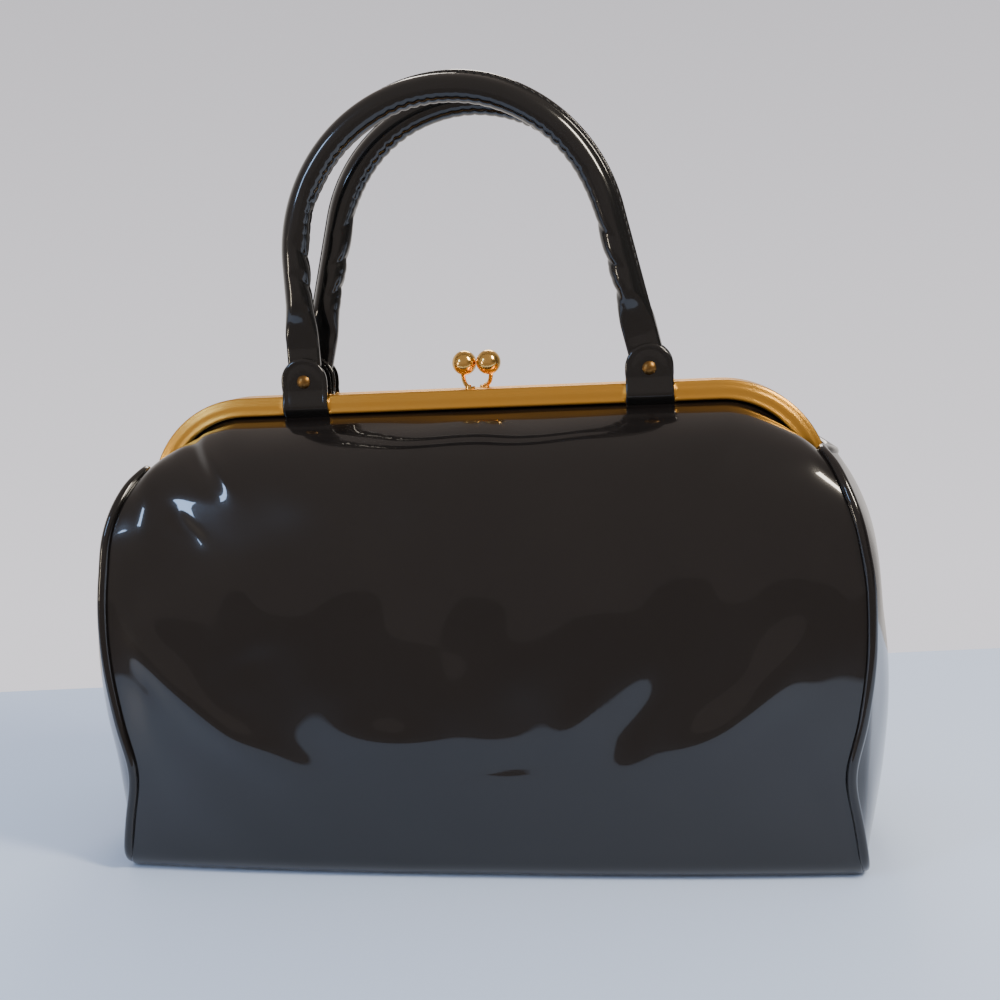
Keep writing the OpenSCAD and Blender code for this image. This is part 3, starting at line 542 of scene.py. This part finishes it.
def front_sheet(turned):
    """s runs from -1 to 1 across the sheet, with closer columns towards the seams."""
    s = np.linspace(-1, 1, SHEET_COLS)
    s = np.sign(s) * (1 - (1 - np.abs(s)) ** 1.25)
    s[SHEET_COLS // 2] = 1e-6  # the middle column needs a side too
    outer = folded(np.array(cap_rows(s) + lower_rows(s)), s, turned)
    normal = grid_normals(outer)
    middle = normal[2 + CAP_ROWS + WALL_ROWS // 2, SHEET_COLS // 2]
    inner = outer - VINYL_T * normal * np.sign(-middle[1])
    if turned:
        outer, inner = half_turned(outer), half_turned(inner)
    return closed_sheet(settled(outer), settled(inner))

# %% [markdown]
# The vinyl of each face crosses the hinge, and is made as one sheet.

# %% Front and back sheets
for face, sign in (("front", -1), ("back", 1)):
    points, faces = front_sheet(face == "back")
    sheet = make_piece(face + "_vinyl", points, faces, vinyl, None,
                       ("main_panel", f"panel_{face}_upper"), lined_faces(SHEET_ROWS, SHEET_COLS))
    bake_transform(sheet)

# %% [markdown]
# The sides of the bag are separate pieces, called gussets. They bulge out, and at the top their rim
# curls in over the hinge of the frame. Each gusset stays with the bag, and its rim is a little further
# out than the front and back sheets. Its form follows the seam on both edges and a curve of its own in
# the middle, with a few dents pressed in.

# %% Gussets
GUSSET_X = [(0, 163), (20, 172), (50, 178), (100, 178), (130, 173.5), (150, 166.5), (163, 161),
            (172, 156), (178, 152)]
GUSSET_ROWS = 111
GUSSET_COLS = 61
RIM_DIP = 5.0
FOOT_LIFT = 5.0
DENTS = [  # height, place y, half width, place z, half height
    (-2.0, 16, 17, 72, 24), (-1.5, -20, 14, 116, 20),
]


def gusset_dents(y, z, turn):
    dent = 0.5 * np.sin(y / 9 + z / 21) + 0.35 * np.sin(z / 12 - y / 15 + 1)
    for height, at_y, wide, at_z, high in DENTS:
        dent = dent + height * np.exp(-((y - at_y * turn) / wide) ** 2 - ((z - at_z) / high) ** 2)
    crease = -2.2 * np.exp(-(y / 5) ** 2) * smooth((z - 118) / 30) * smooth((166 - z) / 14)
    return dent + crease


def gusset_sheet(left):
    s = np.linspace(-1, 1, GUSSET_COLS)[None, :]
    v = np.linspace(0, 1, GUSSET_ROWS)[:, None]
    edge = resample(seam_line(2 * PIPING_R + 0.2), count=GUSSET_ROWS)
    foot = FOOT_LIFT * np.maximum(0, np.abs(s) - 0.8) ** 2 / 0.2 ** 2 * (1 - v) ** 6
    z = edge[:, 2:] + foot - RIM_DIP * (1 - s ** 2) * smooth((v - 0.8) / 0.2)
    y = s * (-edge[:, 1:2] - SEAM_INSET)
    power = 2 + 1.6 * smooth((z - 140) / 35)
    x = edge[:, :1] + (curve_at(GUSSET_X, z) - edge[:, :1]) * (1 - np.abs(s) ** power)
    calm = smooth((1 - np.abs(s)) / 0.3) * smooth(v / 0.15) * smooth((1 - v) / 0.12)
    dent = gusset_dents(y, z, -1 if left else 1)
    grid = np.stack([x + dent * calm, y + 0 * z, z], -1)
    normal = grid_normals(grid)
    inner = grid - VINYL_T * normal * np.sign(normal[GUSSET_ROWS // 2, GUSSET_COLS // 2, 0])
    if left:
        grid, inner = half_turned(grid), half_turned(inner)
    return closed_sheet(settled(grid[::-1]), settled(inner[::-1]))


for side in ("left", "right"):
    points, faces = gusset_sheet(side == "left")
    make_piece("gusset_vinyl_" + side, points, faces, vinyl, "bag", ("gusset_" + side,),
               lined_faces(GUSSET_ROWS, GUSSET_COLS))

# %% [markdown]
# A thin cord covered in the same vinyl is sewn into each side's seam. It runs up the front, over the
# rim of the gusset and down the back, and closes under the bottom. A ring of points that follows the
# seam is swept along that path. The ring keeps its upright way from point to point, so the tube
# doesn't twist where the path turns.

# %% Piping
PIPING_SIDES = 12
PIPING_STEP = 2.0
CORD_FOOT_Z = PIPING_R + 0.3
CORD_TURN_R = 10
CORD_RIM = [(150.8, -20, 174.4), (154.2, -10, 172.3), (155.6, 0, 171.6)]


def closed_tube(path, radius, sides):
    heading = np.roll(path, -1, axis=0) - np.roll(path, 1, axis=0)
    heading /= np.linalg.norm(heading, axis=1, keepdims=True)
    angles = np.linspace(0, 2 * np.pi, sides, endpoint=False)[:, None]
    side = np.cross(heading[0], [0.3, 0.2, 1.0])
    rings = []
    for point, way in zip(path, heading):
        side = side - way * side.dot(way)
        side /= np.linalg.norm(side)
        rings.append(point + radius * (np.cos(angles) * side + np.sin(angles) * np.cross(way, side)))
    count = len(rings)
    faces = grid_faces(count + 1, sides, wrap=True)
    return np.array(rings).reshape(-1, 3), [tuple(v % (count * sides) for v in face) for face in faces]


def seam_path():
    """Once round the right gusset: up the front, over its rim, down the back and under the bag."""
    front = seam_line(CORD_FOOT_Z + CORD_TURN_R)
    a = np.radians(np.linspace(90, 6, 12))
    low_z = CORD_FOOT_Z + CORD_TURN_R * (1 - np.sin(a))
    low_y = -(curve_at(SEAM_Y, CORD_FOOT_Z + CORD_TURN_R) - CORD_TURN_R * (1 - np.cos(a)))
    low = np.stack([curve_at(SEAM_X, low_z), low_y, low_z], -1)
    under = [[curve_at(SEAM_X, CORD_FOOT_Z), 0, CORD_FOOT_Z]]
    half = np.concatenate([under, low, front, CORD_RIM])
    mirrored = half[1:-1][::-1] * np.array([1, -1, 1])
    path = resample(np.concatenate([half, mirrored, half[:1]]), step=PIPING_STEP)[:-1]
    for _ in range(3):
        path = (np.roll(path, 1, axis=0) + 2 * path + np.roll(path, -1, axis=0)) / 4
    return path


cord_path = seam_path()
print("piping round one side:", round(len(cord_path) * PIPING_STEP), "mm")
for side in ("left", "right"):
    path = settled(cord_path if side == "right" else half_turned(cord_path))
    points, faces = closed_tube(path, PIPING_R, PIPING_SIDES)
    make_piece("piping_cord_" + side, points, faces, vinyl, "bag", ("piping_" + side,))

# %% [markdown]
# The lining is a cloth bag that hangs a few millimetres inside the vinyl and stands on the board in
# the bottom. It is made as one closed wall with a rolled hem, so it shows no open edge from above,
# and its slack shows as upright waves. Its inner wall ends in a floor of a few ever smaller rings.

# %% Lining
LINING_TOP = 103
LINING_FOOT = 3.9
LINING_GAP = 6.0
LINING_T = 0.7
LINING_ROWS = 34
HEM_MM = 6
FLOOR_SHARES = (0.8, 0.5, 0.2)


def lining_ring(z, more):
    """One ring of the lining's wall, set in from the vinyl by the gap and by more millimetres."""
    inset = LINING_GAP + more + 9 * max(0, 1 - (z - LINING_FOOT) / 22) ** 2
    half_x = curve_at(SEAM_X, z) - inset - 3.7
    half_y = curve_at(SEAM_Y, z) - inset - 3.7
    s = np.linspace(-1, 1, 64, endpoint=False)
    front = np.stack([s * half_x, -(panel_depth(s, z) - inset), z + 0 * s], -1)
    t = np.linspace(-1, 1, 32, endpoint=False)
    full = np.interp(z, [row[0] for row in GUSSET_X], [row[1] for row in GUSSET_X])
    side_x = curve_at(SEAM_X, z) + (full - curve_at(SEAM_X, z)) * (1 - t ** 2) - inset - 1.2
    side = np.stack([side_x, t * half_y, z + 0 * t], -1)
    ring = np.concatenate([front, side, half_turned(front), half_turned(side)])
    run = np.arange(len(ring)) * 2 * math.pi / len(ring)
    slack = 0.9 * np.sin(9 * run + z / 40) + 0.6 * np.sin(17 * run + 1.3) + 0.4 * np.sin(31 * run + z / 25)
    pull = 1 - 0.008 * (slack + 1.9) * smooth((z - 15) / 40)
    return ring * np.stack([pull, pull, np.ones_like(pull)], -1)


def lining_wall():
    heights = LINING_FOOT + (LINING_TOP - LINING_FOOT) * np.linspace(0, 1, LINING_ROWS) ** 1.2
    outer = [lining_ring(z, 0) for z in heights]
    hem = [lining_ring(LINING_TOP + 0.6, more) for more in (0.2, 0.8)]
    inner = [lining_ring(z, 1.0 if LINING_TOP - z < HEM_MM else LINING_T) for z in heights[::-1]]
    inner[-1] = inner[-1] + np.array([0, 0, LINING_T])
    under = [outer[0] * np.array([share, share, 1]) for share in reversed(FLOOR_SHARES)]
    floor = [inner[-1] * np.array([share, share, 1]) for share in FLOOR_SHARES]
    return swept(np.array(under + outer + hem + inner + floor)[::-1])


points, faces = lining_wall()
make_piece("cloth_lining", points, faces, lining_cotton, "bag", ("lining",))

# %% [markdown]
# Each handle is a strip of vinyl rolled round a rope. The two edges of the strip meet on the outside
# of the arch and are stitched together, which leaves a thin flange with a row of stitches. The roll
# has twisted a little, so the flange lies to the back on the left of the arch and comes to the top
# on the right. At both ends the rope stops and the strip is flattened into the tab. First comes the
# handle's middle line: two straight legs and an arch, seen in the plane of the handle.

# %% The handle's line
BAR_MID_Z = 200.75
NECK_Y = 6.3
LEAN = math.radians(3.3)
HANDLE_X = 77
ARCHES = {"front": (-7.0, 70.0, 62.8), "back": (0.0, 62.2, 69.0)}  # middle x, radius, middle z
RIVET_RISE = 10.9
END_LOW = 4.6
STATION_MM = 0.62


def on_neck(points):
    """From the handle's own plane to its place on the frame's necks, leaning as it does at rest."""
    p = np.asarray(points, float)
    y = p[..., 1] * math.cos(LEAN) - p[..., 2] * math.sin(LEAN) - NECK_Y
    z = p[..., 1] * math.sin(LEAN) + p[..., 2] * math.cos(LEAN) + BAR_MID_Z
    return np.stack([p[..., 0], y, z], -1)


def handle_line(arch):
    """Stations: x, z, angle of the outward way, run from the left end, run from the right end."""
    arch_x, radius, rise = arch
    drop = rise - RIVET_RISE
    slopes, legs = {}, {}
    for side in (-1, 1):
        span = HANDLE_X - side * arch_x
        slopes[side] = math.acos(radius / math.hypot(span, drop)) - math.atan2(drop, span)
        legs[side] = math.sqrt(span ** 2 + drop ** 2 - radius ** 2) + END_LOW
    bend = radius * (math.pi - slopes[-1] - slopes[1])
    total = legs[-1] + bend + legs[1]
    stations = []
    for run in np.linspace(0, total, int(total / STATION_MM)):
        side = -1 if run < legs[-1] else 1
        h = (run if side < 0 else total - run) - END_LOW
        if legs[-1] <= run <= legs[-1] + bend:
            a = math.pi - slopes[-1] - (run - legs[-1]) / radius
            x, z = arch_x + radius * math.cos(a), rise + radius * math.sin(a)
        else:
            a = math.pi - slopes[-1] if side < 0 else slopes[1]
            x = side * (HANDLE_X - h * math.sin(slopes[side]))
            z = RIVET_RISE + h * math.cos(slopes[side])
        stations.append((x, z, a, run, total - run))
    return np.array(stations)


LINES = {face: handle_line(arch) for face, arch in ARCHES.items()}
print("handles, end to end:", [round(line[-1, 3]) for line in LINES.values()], "mm")

# %% [markdown]
# On the inside of the bend the vinyl is too long and puckers in small scallops, and on the straight
# legs it has slanted creases. They are only 5 mm long and have sharp reflections between them, so
# they have to be real shape: the roll is swept through many short stations, each with its own ring.

# %% The roll's rings
ROLL_R = 6.15
FLANGE_H = 1.4
FLANGE_T = 1.9
FLANGE_TURN = (58, -14)
STRAP_TOP = 30
ROLL_END = 46
END_W = 15
END_T = 5.0
PUCKER_MM = 5.0
SCALLOP_DEEP = 0.70
CREASE_DEEP = 0.85
FLANK_DEEP = 0.6
LEG_RUN = 74


def roll_section():
    """Outline of the roll, with the flange at angle 0, on the arch's outer side."""
    gap = math.asin(FLANGE_T / 2 / ROLL_R) * 1.7
    top, half = ROLL_R + FLANGE_H, FLANGE_T / 2
    foot, shoulder = ROLL_R + 0.4, ROLL_R + FLANGE_H * 0.75
    flange = [(foot, -half), (shoulder, -half), (top, -0.25), (top - 0.25, 0.0), (top, 0.25),
              (shoulder, half), (foot, half)]
    angles = np.linspace(gap, 2 * math.pi - gap, 34)
    return np.array(flange + [(ROLL_R * math.cos(a), ROLL_R * math.sin(a)) for a in angles])


def flange_turn(from_left, from_right):
    """How far the flange is turned from the top of the arch, in radians."""
    return -math.radians(np.interp(from_left / (from_left + from_right), [0.3, 0.6], FLANGE_TURN))


def pucker(section, angle, run, near, flat, seed):
    """How far the vinyl stands out, in millimetres; scallops and creases are negative."""
    inside = smooth((np.abs(angle) - math.radians(105)) / math.radians(50))
    flank = smooth((np.abs(angle) - math.radians(60)) / math.radians(45)) * (1 - 0.5 * inside)
    drift = 0.9 * math.sin(run / 13.7 + seed) + 0.7 * math.sin(run / 8.9 + 2 * seed)
    uneven = 0.55 + 0.3 * math.sin(run / 11.3 + seed) + 0.25 * math.sin(run / 5.7 + 2 * seed)
    scallop = 1 - abs(math.sin(math.pi * (run + drift) / PUCKER_MM)) ** 0.6
    slant = run / 6.3 + angle * np.sign(section[:, 1]) * 0.9 + 0.8 * math.sin(run / 9.1 + seed)
    crease = 1 - np.abs(np.sin(slant)) ** 0.6
    bend = smooth((near - LEG_RUN) / 30)
    on_leg = (1 - bend) * (1 - flat)
    drawn_in = SCALLOP_DEEP * uneven * scallop * inside * (0.35 + 0.65 * bend)
    return -(drawn_in + on_leg * crease * (CREASE_DEEP * inside + FLANK_DEEP * flank)) * (1 - flat)


def blunt(v):
    """Pushes a circle's points towards a box with round corners."""
    return np.sign(v) * np.abs(v) ** 0.45


def roll_ring(plain_section, station, seed):
    x, z, way, from_left, from_right = station
    near = min(from_left, from_right)
    height = near - END_LOW + RIVET_RISE
    flat = 1 - smooth((height - STRAP_TOP) / (ROLL_END - STRAP_TOP))
    swing = flange_turn(from_left, from_right)
    turn = np.array([[math.cos(swing), math.sin(swing)], [-math.sin(swing), math.cos(swing)]])
    section = plain_section @ turn
    angle = np.arctan2(section[:, 1], section[:, 0])
    length = np.hypot(section[:, 0], section[:, 1])
    radial = pucker(section, angle, from_left, near, flat, seed)
    round_ring = section * ((length + radial) / length)[:, None]
    narrow = 0.78 + 0.22 * smooth(near / 3.0)
    crumple = 0.32 * math.sin(height / 2.3 + seed) * smooth((height - 20) / 8)
    flat_ring = np.stack([END_W / 2 * narrow * blunt(np.cos(angle)),
                          (END_T / 2 + crumple) * blunt(np.sin(angle))], -1)
    ring = round_ring * (1 - flat) + flat_ring * flat
    return np.stack([x + ring[:, 0] * math.cos(way), -ring[:, 1], z + ring[:, 0] * math.sin(way)], -1)

# %% [markdown]
# The flange is sewn with a waxed thread. A stitch is a short capsule on the vinyl, a little slanted
# because the needle pulls it so. The rope inside is laid from three strands. It stays hidden, but it
# fills the roll and makes it stiff, and the CAD model has it too.

# %% Stitches and rope
STITCH_MM = 3.4
STITCH_RINGS = [(-1.1, 0.08), (-0.75, 0.22), (0.75, 0.22), (1.1, 0.08)]  # place along, radius
STITCH_SIDES = 6
ROPE_R = 4.4
ROPE_START = 40
ROPE_SIDES = 24
STRAND_TURN_MM = 5


def stitches(line):
    """Capsules on both faces of the flange, all along the round part of the roll."""
    points, faces = [], []
    total = line[-1, 3]
    circle = np.linspace(0, 2 * math.pi, STITCH_SIDES, endpoint=False)
    for k in range(int((total - 2 * ROLL_END) / STITCH_MM)):
        run = ROLL_END + (k + 0.5) * STITCH_MM
        x, z, way = (np.interp(run, line[:, 3], line[:, c]) for c in (0, 1, 2))
        along = np.array([-math.sin(way), 0, math.cos(way)])
        arch_out = np.array([math.cos(way), 0, math.sin(way)])
        swing = flange_turn(run, total - run)
        out = arch_out * math.cos(swing) - np.array([0, math.sin(swing), 0])
        across = arch_out * math.sin(swing) + np.array([0, math.cos(swing), 0])
        for face in (-1, 1):
            middle = np.array([x, 0, z]) + out * (ROLL_R + FLANGE_H * 0.5)
            middle = middle + across * face * (FLANGE_T / 2 + 0.05)
            base = len(points)
            for at, r in STITCH_RINGS:
                points += [middle + along * at + out * (r * math.cos(a) + 0.12 * at)
                           + across * r * math.sin(a) for a in circle]
            faces += grid_faces(len(STITCH_RINGS), STITCH_SIDES, base, wrap=True)
            faces.append(tuple(range(base, base + STITCH_SIDES)))
            faces.append(tuple(reversed(range(len(points) - STITCH_SIDES, len(points)))))
    return np.array(points), faces


def rope_rings(line):
    rings = []
    theta = np.linspace(0, 2 * math.pi, ROPE_SIDES, endpoint=False)
    for x, z, way, from_left, from_right in line[::2]:
        if min(from_left, from_right) < ROPE_START:
            continue
        r = ROPE_R - 0.8 + 0.8 * np.abs(np.cos(1.5 * (theta - from_left / STRAND_TURN_MM)))
        out, across = r * np.cos(theta), r * np.sin(theta)
        rings.append(np.stack([x + out * math.cos(way), -across, z + out * math.sin(way)], -1))
    return np.array(rings)

# %% Material: waxed sewing thread
THREAD_TWIST = 1 / (0.9 * MM)


def sewing_thread():
    material, tree, shader = new_material("waxed_thread", {"Roughness": 0.6, "Sheen Weight": 0.2})
    place = add_node(tree, "ShaderNodeTexCoord").outputs["Object"]
    twist = add_node(tree, "ShaderNodeTexWave", values={"Scale": THREAD_TWIST, "Distortion": 1.0},
                     links={"Vector": place})
    tint = add_node(tree, "ShaderNodeMix", {"data_type": "RGBA"},
                    {6: linear("#26221d"), 7: linear("#4a4338")}, {0: twist.outputs["Fac"]})
    bump = add_node(tree, "ShaderNodeBump", values={"Strength": 0.4, "Distance": 0.1 * MM},
                    links={"Height": twist.outputs["Fac"]})
    feed(tree, shader, {"Base Color": tint.outputs[2], "Normal": bump.outputs["Normal"]})
    return material


thread = sewing_thread()

# %% Handles with their ropes and stitches
def place_on_bag(points, face):
    """From the handle's plane to the front handle, or half a turn on to the back one."""
    placed = on_neck(points)
    return half_turned(placed) if face == "back" else placed


for face, seed in (("front", 0.4), ("back", 2.1)):
    line, body = LINES[face], "handle_" + face
    rings = np.array([roll_ring(roll_section(), station, seed) for station in line])
    points, faces = swept(place_on_bag(rings, face))
    make_piece("rolled_handle_" + face, points, faces, handle_vinyl, body,
               ("handle_" + face,))
    points, faces = swept(place_on_bag(rope_rings(line), face))
    make_piece("twisted_rope_" + face, points, faces, rope_cotton, body, ("handle_core_" + face,))
    points, faces = stitches(line)
    make_piece("handle_stitches_" + face, place_on_bag(points, face), faces, thread, body)

# %% [markdown]
# A tab is a strip of doubled vinyl that loops under the frame's neck and closes over the handle's
# flattened end, with its round top cut like a shield. A rivet goes through all the layers. The edge
# of the strip is rounded by its lacquer and a line is pressed just inside it. The strip is one sheet:
# up the front, down round the loop and up the back, and the press is read from how far each point
# lies inside the edge.

# %% Tabs
TAB_HALF = 10.35
TAB_TOP_HALF = 10.5
TAB_NARROWEST = 1.2
LOOP_R = 5.9
LOOP_HOLE_R = 4.75
LOOP_FROM, LOOP_TO = math.radians(156), math.radians(384)
TAB_FRONT_T = 1.6
TAB_BACK_T = 1.0
EDGE_INSET = [0, 0.25, 0.7, 1.3, 2.0, 2.5, 3.1, 4.5]
EDGE_PRESS = [0.75, 0.4, 0.12, 0.05, 0.22, 0.38, 0.2, 0.0]


def tab_width(rise):
    """Half width of the strip, and of its straight part, at a height above the neck."""
    full = TAB_HALF + (TAB_TOP_HALF - TAB_HALF) * smooth((rise - 6.8) / 1.8)
    over = np.clip(rise - RIVET_RISE, 0, full)
    return max(math.sqrt(full ** 2 - over ** 2), TAB_NARROWEST), full


def tab_profile():
    """The strip from the side: places y, z of its outer and of its inner face."""
    near = END_T / 2 + 0.35
    round_top = RIVET_RISE + TAB_TOP_HALF * np.cos(np.linspace(0, math.pi / 2, 14))
    rises = np.concatenate([round_top, np.linspace(RIVET_RISE - 0.8, 6.5, 7)])
    turn = np.linspace(LOOP_FROM, LOOP_TO, 30)
    loop = np.stack([np.cos(turn), np.sin(turn)], -1)

    def strip(front_y, radius, back_y):
        up_front = [(front_y, rise) for rise in rises]
        up_back = [(back_y, rise) for rise in rises[::-1]]
        return np.concatenate([up_front, loop * radius, up_back])

    return strip(-near - TAB_FRONT_T, LOOP_R, near + TAB_BACK_T), strip(-near, LOOP_HOLE_R, near)


def tab_strip():
    across = np.sin(np.linspace(-math.pi / 2, math.pi / 2, 41))
    outer, inner = [], []
    for out, within in zip(*tab_profile()):
        half, full = tab_width(out[1])
        thick_way = (out - within) / np.linalg.norm(out - within)
        inset = full - np.hypot(half * across, max(0, out[1] - RIVET_RISE))
        press = np.interp(inset, EDGE_INSET, EDGE_PRESS) * (1 if out[1] > 6 else 0.5)
        pressed = out - press[:, None] * thick_way
        outer.append(np.column_stack([half * across, pressed]))
        inner.append([(half * a, *within) for a in across])
    return closed_sheet(np.array(outer), np.array(inner))


for face in ("front", "back"):
    for side, sign in (("left", -1), ("right", 1)):
        points, faces = tab_strip()
        own_x = HANDLE_X * (sign if face == "front" else -sign)
        points = place_on_bag(points + np.array([own_x, 0, 0]), face)
        make_piece(f"tab_vinyl_{face}_{side}", points, faces, handle_vinyl, "handle_" + face,
                   (f"tab_{face}_{side}",))

# %% [markdown]
# A dark, mirror-like bag is mostly a picture of its room, so the room is part of the look. The table
# under it is pale and gives the lower part of the bag its cool grey. In front of the bag the table has
# an edge, which only reflections see: beyond it they meet a painted reflection of a dim floor, a glow
# that only glossy rays see, so the bag is dark higher up. On the table itself reflections take a small
# share of the same glow.
# Behind the bag the table ends at a wall, along the slanted line that the photograph shows.

# %% The table
TABLE_BACK = [(-372.3, 213.3), (300.8, 299.7)]
TABLE_REACH = 2200
TABLE_FRONT_Y = -305
TABLE_NEAR_Y = -1600
FLOOR_SHADE = 0.84


def table_material():
    paint = {"Base Color": linear("#d3e2fa"), "Roughness": 0.5}
    material, tree, shader = new_material("painted_table", paint)
    place = add_node(tree, "ShaderNodeNewGeometry").outputs["Position"]
    split = add_node(tree, "ShaderNodeSeparateXYZ", links={"Vector": place})
    on_table = add_node(tree, "ShaderNodeMapRange",
                        values={"From Min": (TABLE_FRONT_Y - 14) * MM, "From Max": (TABLE_FRONT_Y + 4) * MM},
                        links={"Value": split.outputs["Y"]})
    in_front = add_node(tree, "ShaderNodeMath", {"operation": "MULTIPLY_ADD"}, {1: -FLOOR_SHADE, 2: 1.0},
                        {0: on_table.outputs["Result"]})
    ray = add_node(tree, "ShaderNodeLightPath")
    mirrored = add_node(tree, "ShaderNodeMath", {"operation": "MULTIPLY"},
                        links={0: in_front.outputs[0], 1: ray.outputs["Is Glossy Ray"]})
    # Painted reflection: a glowing dim floor that only glossy rays see, fully in front of the table's edge
    # and faintly on the table.
    floor_glow_for_reflections = add_node(tree, "ShaderNodeEmission", values={"Color": linear("#7d726b"), "Strength": 1.5})
    mix = add_node(tree, "ShaderNodeMixShader",
                   links={0: mirrored.outputs[0], 1: shader.outputs[0], 2: floor_glow_for_reflections.outputs[0]})
    tree.links.new(mix.outputs[0], tree.nodes["Material Output"].inputs["Surface"])
    return material


def add_table():
    (x0, y0), (x1, y1) = TABLE_BACK
    slant = (y1 - y0) / (x1 - x0)
    back = [(x, y0 + slant * (x - x0)) for x in (TABLE_REACH, -TABLE_REACH)]
    corners = [(-TABLE_REACH, TABLE_NEAR_Y), (TABLE_REACH, TABLE_NEAR_Y)] + back
    top = bpy.data.meshes.new("floor")
    top.from_pydata([(x * MM, y * MM, 0) for x, y in corners], [], [(0, 1, 2, 3)])
    top.materials.append(table_material())
    table = bpy.data.objects.new("floor", top)
    bpy.context.scene.collection.objects.link(table)


add_table()

# %% [markdown]
# The room is drawn in the world's background, which costs no geometry. Seen directly it is the pale
# wall behind the bag. Seen in a reflection it has sides: dim and warm in front, pale behind the bag
# and low down, and a dark doorway on the right, which gives the right shoulder of the bag its dark
# edge. For all other light it is an even, slightly cool fill, so the table and the cloth stay clean.

# %% The room
WALL_COLOUR = "#d3d0d6"
ROOM_PARTS = {  # colour and strength
    "pale": ("#dcd6d2", 1.1), "dim": ("#968b84", 1.3), "door": ("#4a4744", 0.8), "fill": ("#d9e0ee", 1.05),
}
ROOM_SIDES = {  # axis of the view, where the side begins, where it is full, and its full share
    "behind": ("Y", -0.15, 0.45, 1.0), "low": ("Z", 0.75, 0.3, 1.0), "right": ("X", 0.35, 0.85, 0.8),
}


def add_room():
    world = bpy.data.worlds.new("room")
    bpy.context.scene.world = world
    world.use_nodes = True
    tree = world.node_tree
    tree.nodes.clear()
    ray = add_node(tree, "ShaderNodeLightPath")
    way = add_node(tree, "ShaderNodeTexCoord").outputs["Generated"]
    split = add_node(tree, "ShaderNodeSeparateXYZ", links={"Vector": way})
    shown = {part: add_node(tree, "ShaderNodeBackground", values={"Color": linear(colour), "Strength": power})
             for part, (colour, power) in ROOM_PARTS.items()}
    side = {}
    for name, (axis, begins, full, share) in ROOM_SIDES.items():
        side[name] = add_node(tree, "ShaderNodeMapRange", {"interpolation_type": "SMOOTHSTEP"},
                              {"From Min": begins, "From Max": full, "To Max": share},
                              {"Value": split.outputs[axis]})
    back = add_node(tree, "ShaderNodeMath", {"operation": "MULTIPLY"},
                    links={0: side["behind"].outputs["Result"], 1: side["low"].outputs["Result"]})
    glow = add_node(tree, "ShaderNodeMapRange",
                    values={"From Min": -0.2, "From Max": 0.3, "To Min": 1.85, "To Max": 1.2},
                    links={"Value": split.outputs["Z"]})
    wall = add_node(tree, "ShaderNodeBackground", values={"Color": linear(WALL_COLOUR)},
                    links={"Strength": glow.outputs["Result"]})
    room = add_node(tree, "ShaderNodeMixShader",
                    links={0: back.outputs[0], 1: shown["dim"].outputs[0], 2: shown["pale"].outputs[0]})
    room = add_node(tree, "ShaderNodeMixShader", links={
        0: side["right"].outputs["Result"], 1: room.outputs[0], 2: shown["door"].outputs[0]})
    mirrored = add_node(tree, "ShaderNodeMixShader", links={
        0: ray.outputs["Is Glossy Ray"], 1: shown["fill"].outputs[0], 2: room.outputs[0]})
    seen = add_node(tree, "ShaderNodeMixShader",
                    links={0: ray.outputs["Is Camera Ray"], 1: mirrored.outputs[0], 2: wall.outputs[0]})
    add_node(tree, "ShaderNodeOutputWorld", links={"Surface": seen.outputs[0]})


add_room()

# %% [markdown]
# Four soft lights stand where their reflections belong. A tall window on the left and a second one
# beyond it make the thin highlights on the left shoulder and along the handles. A lamp on the right
# makes the bright patch on the right shoulder. The light under the ceiling stands far behind the bag,
# where no part of the front mirrors it, and lights the table and the tops of the handles.

# %% Soft lights
LIGHTS = [  # name, place, size, watts, colour, aimed at
    ("window", (-620, -640, 560), (90, 280), 1.9, "#a9c8f4", (0, 0, 100)),
    ("far_window", (-880, -610, 170), (50, 220), 1.2, "#fff0d8", (-125, -60, 90)),
    ("ceiling", (-100, 1500, 1300), (900, 600), 12, "#fff6ea", (0, 0, 100)),
    ("lamp", (760, -420, 900), (150, 480), 12, "#fff4e2", (130, -20, 190)),
]


def add_soft_light(name, at, size, power, colour, target):
    data = bpy.data.lights.new(name, "AREA")
    data.shape = "RECTANGLE"
    data.size, data.size_y = size[0] * MM, size[1] * MM
    data.energy = power
    data.color = linear(colour)[:3]
    light = bpy.data.objects.new(name, data)
    bpy.context.scene.collection.objects.link(light)
    light.location = Vector(at) * MM
    light.rotation_euler = (Vector(target) * MM - light.location).to_track_quat("-Z", "Y").to_euler()


for light_row in LIGHTS:
    add_soft_light(*light_row)
print("lights:", len(LIGHTS))

# %% [markdown]
# The finished vinyl may stand a few millimetres proud of the CAD model, but not more.

# %% Bring the scene up to date
bpy.context.view_layer.update()
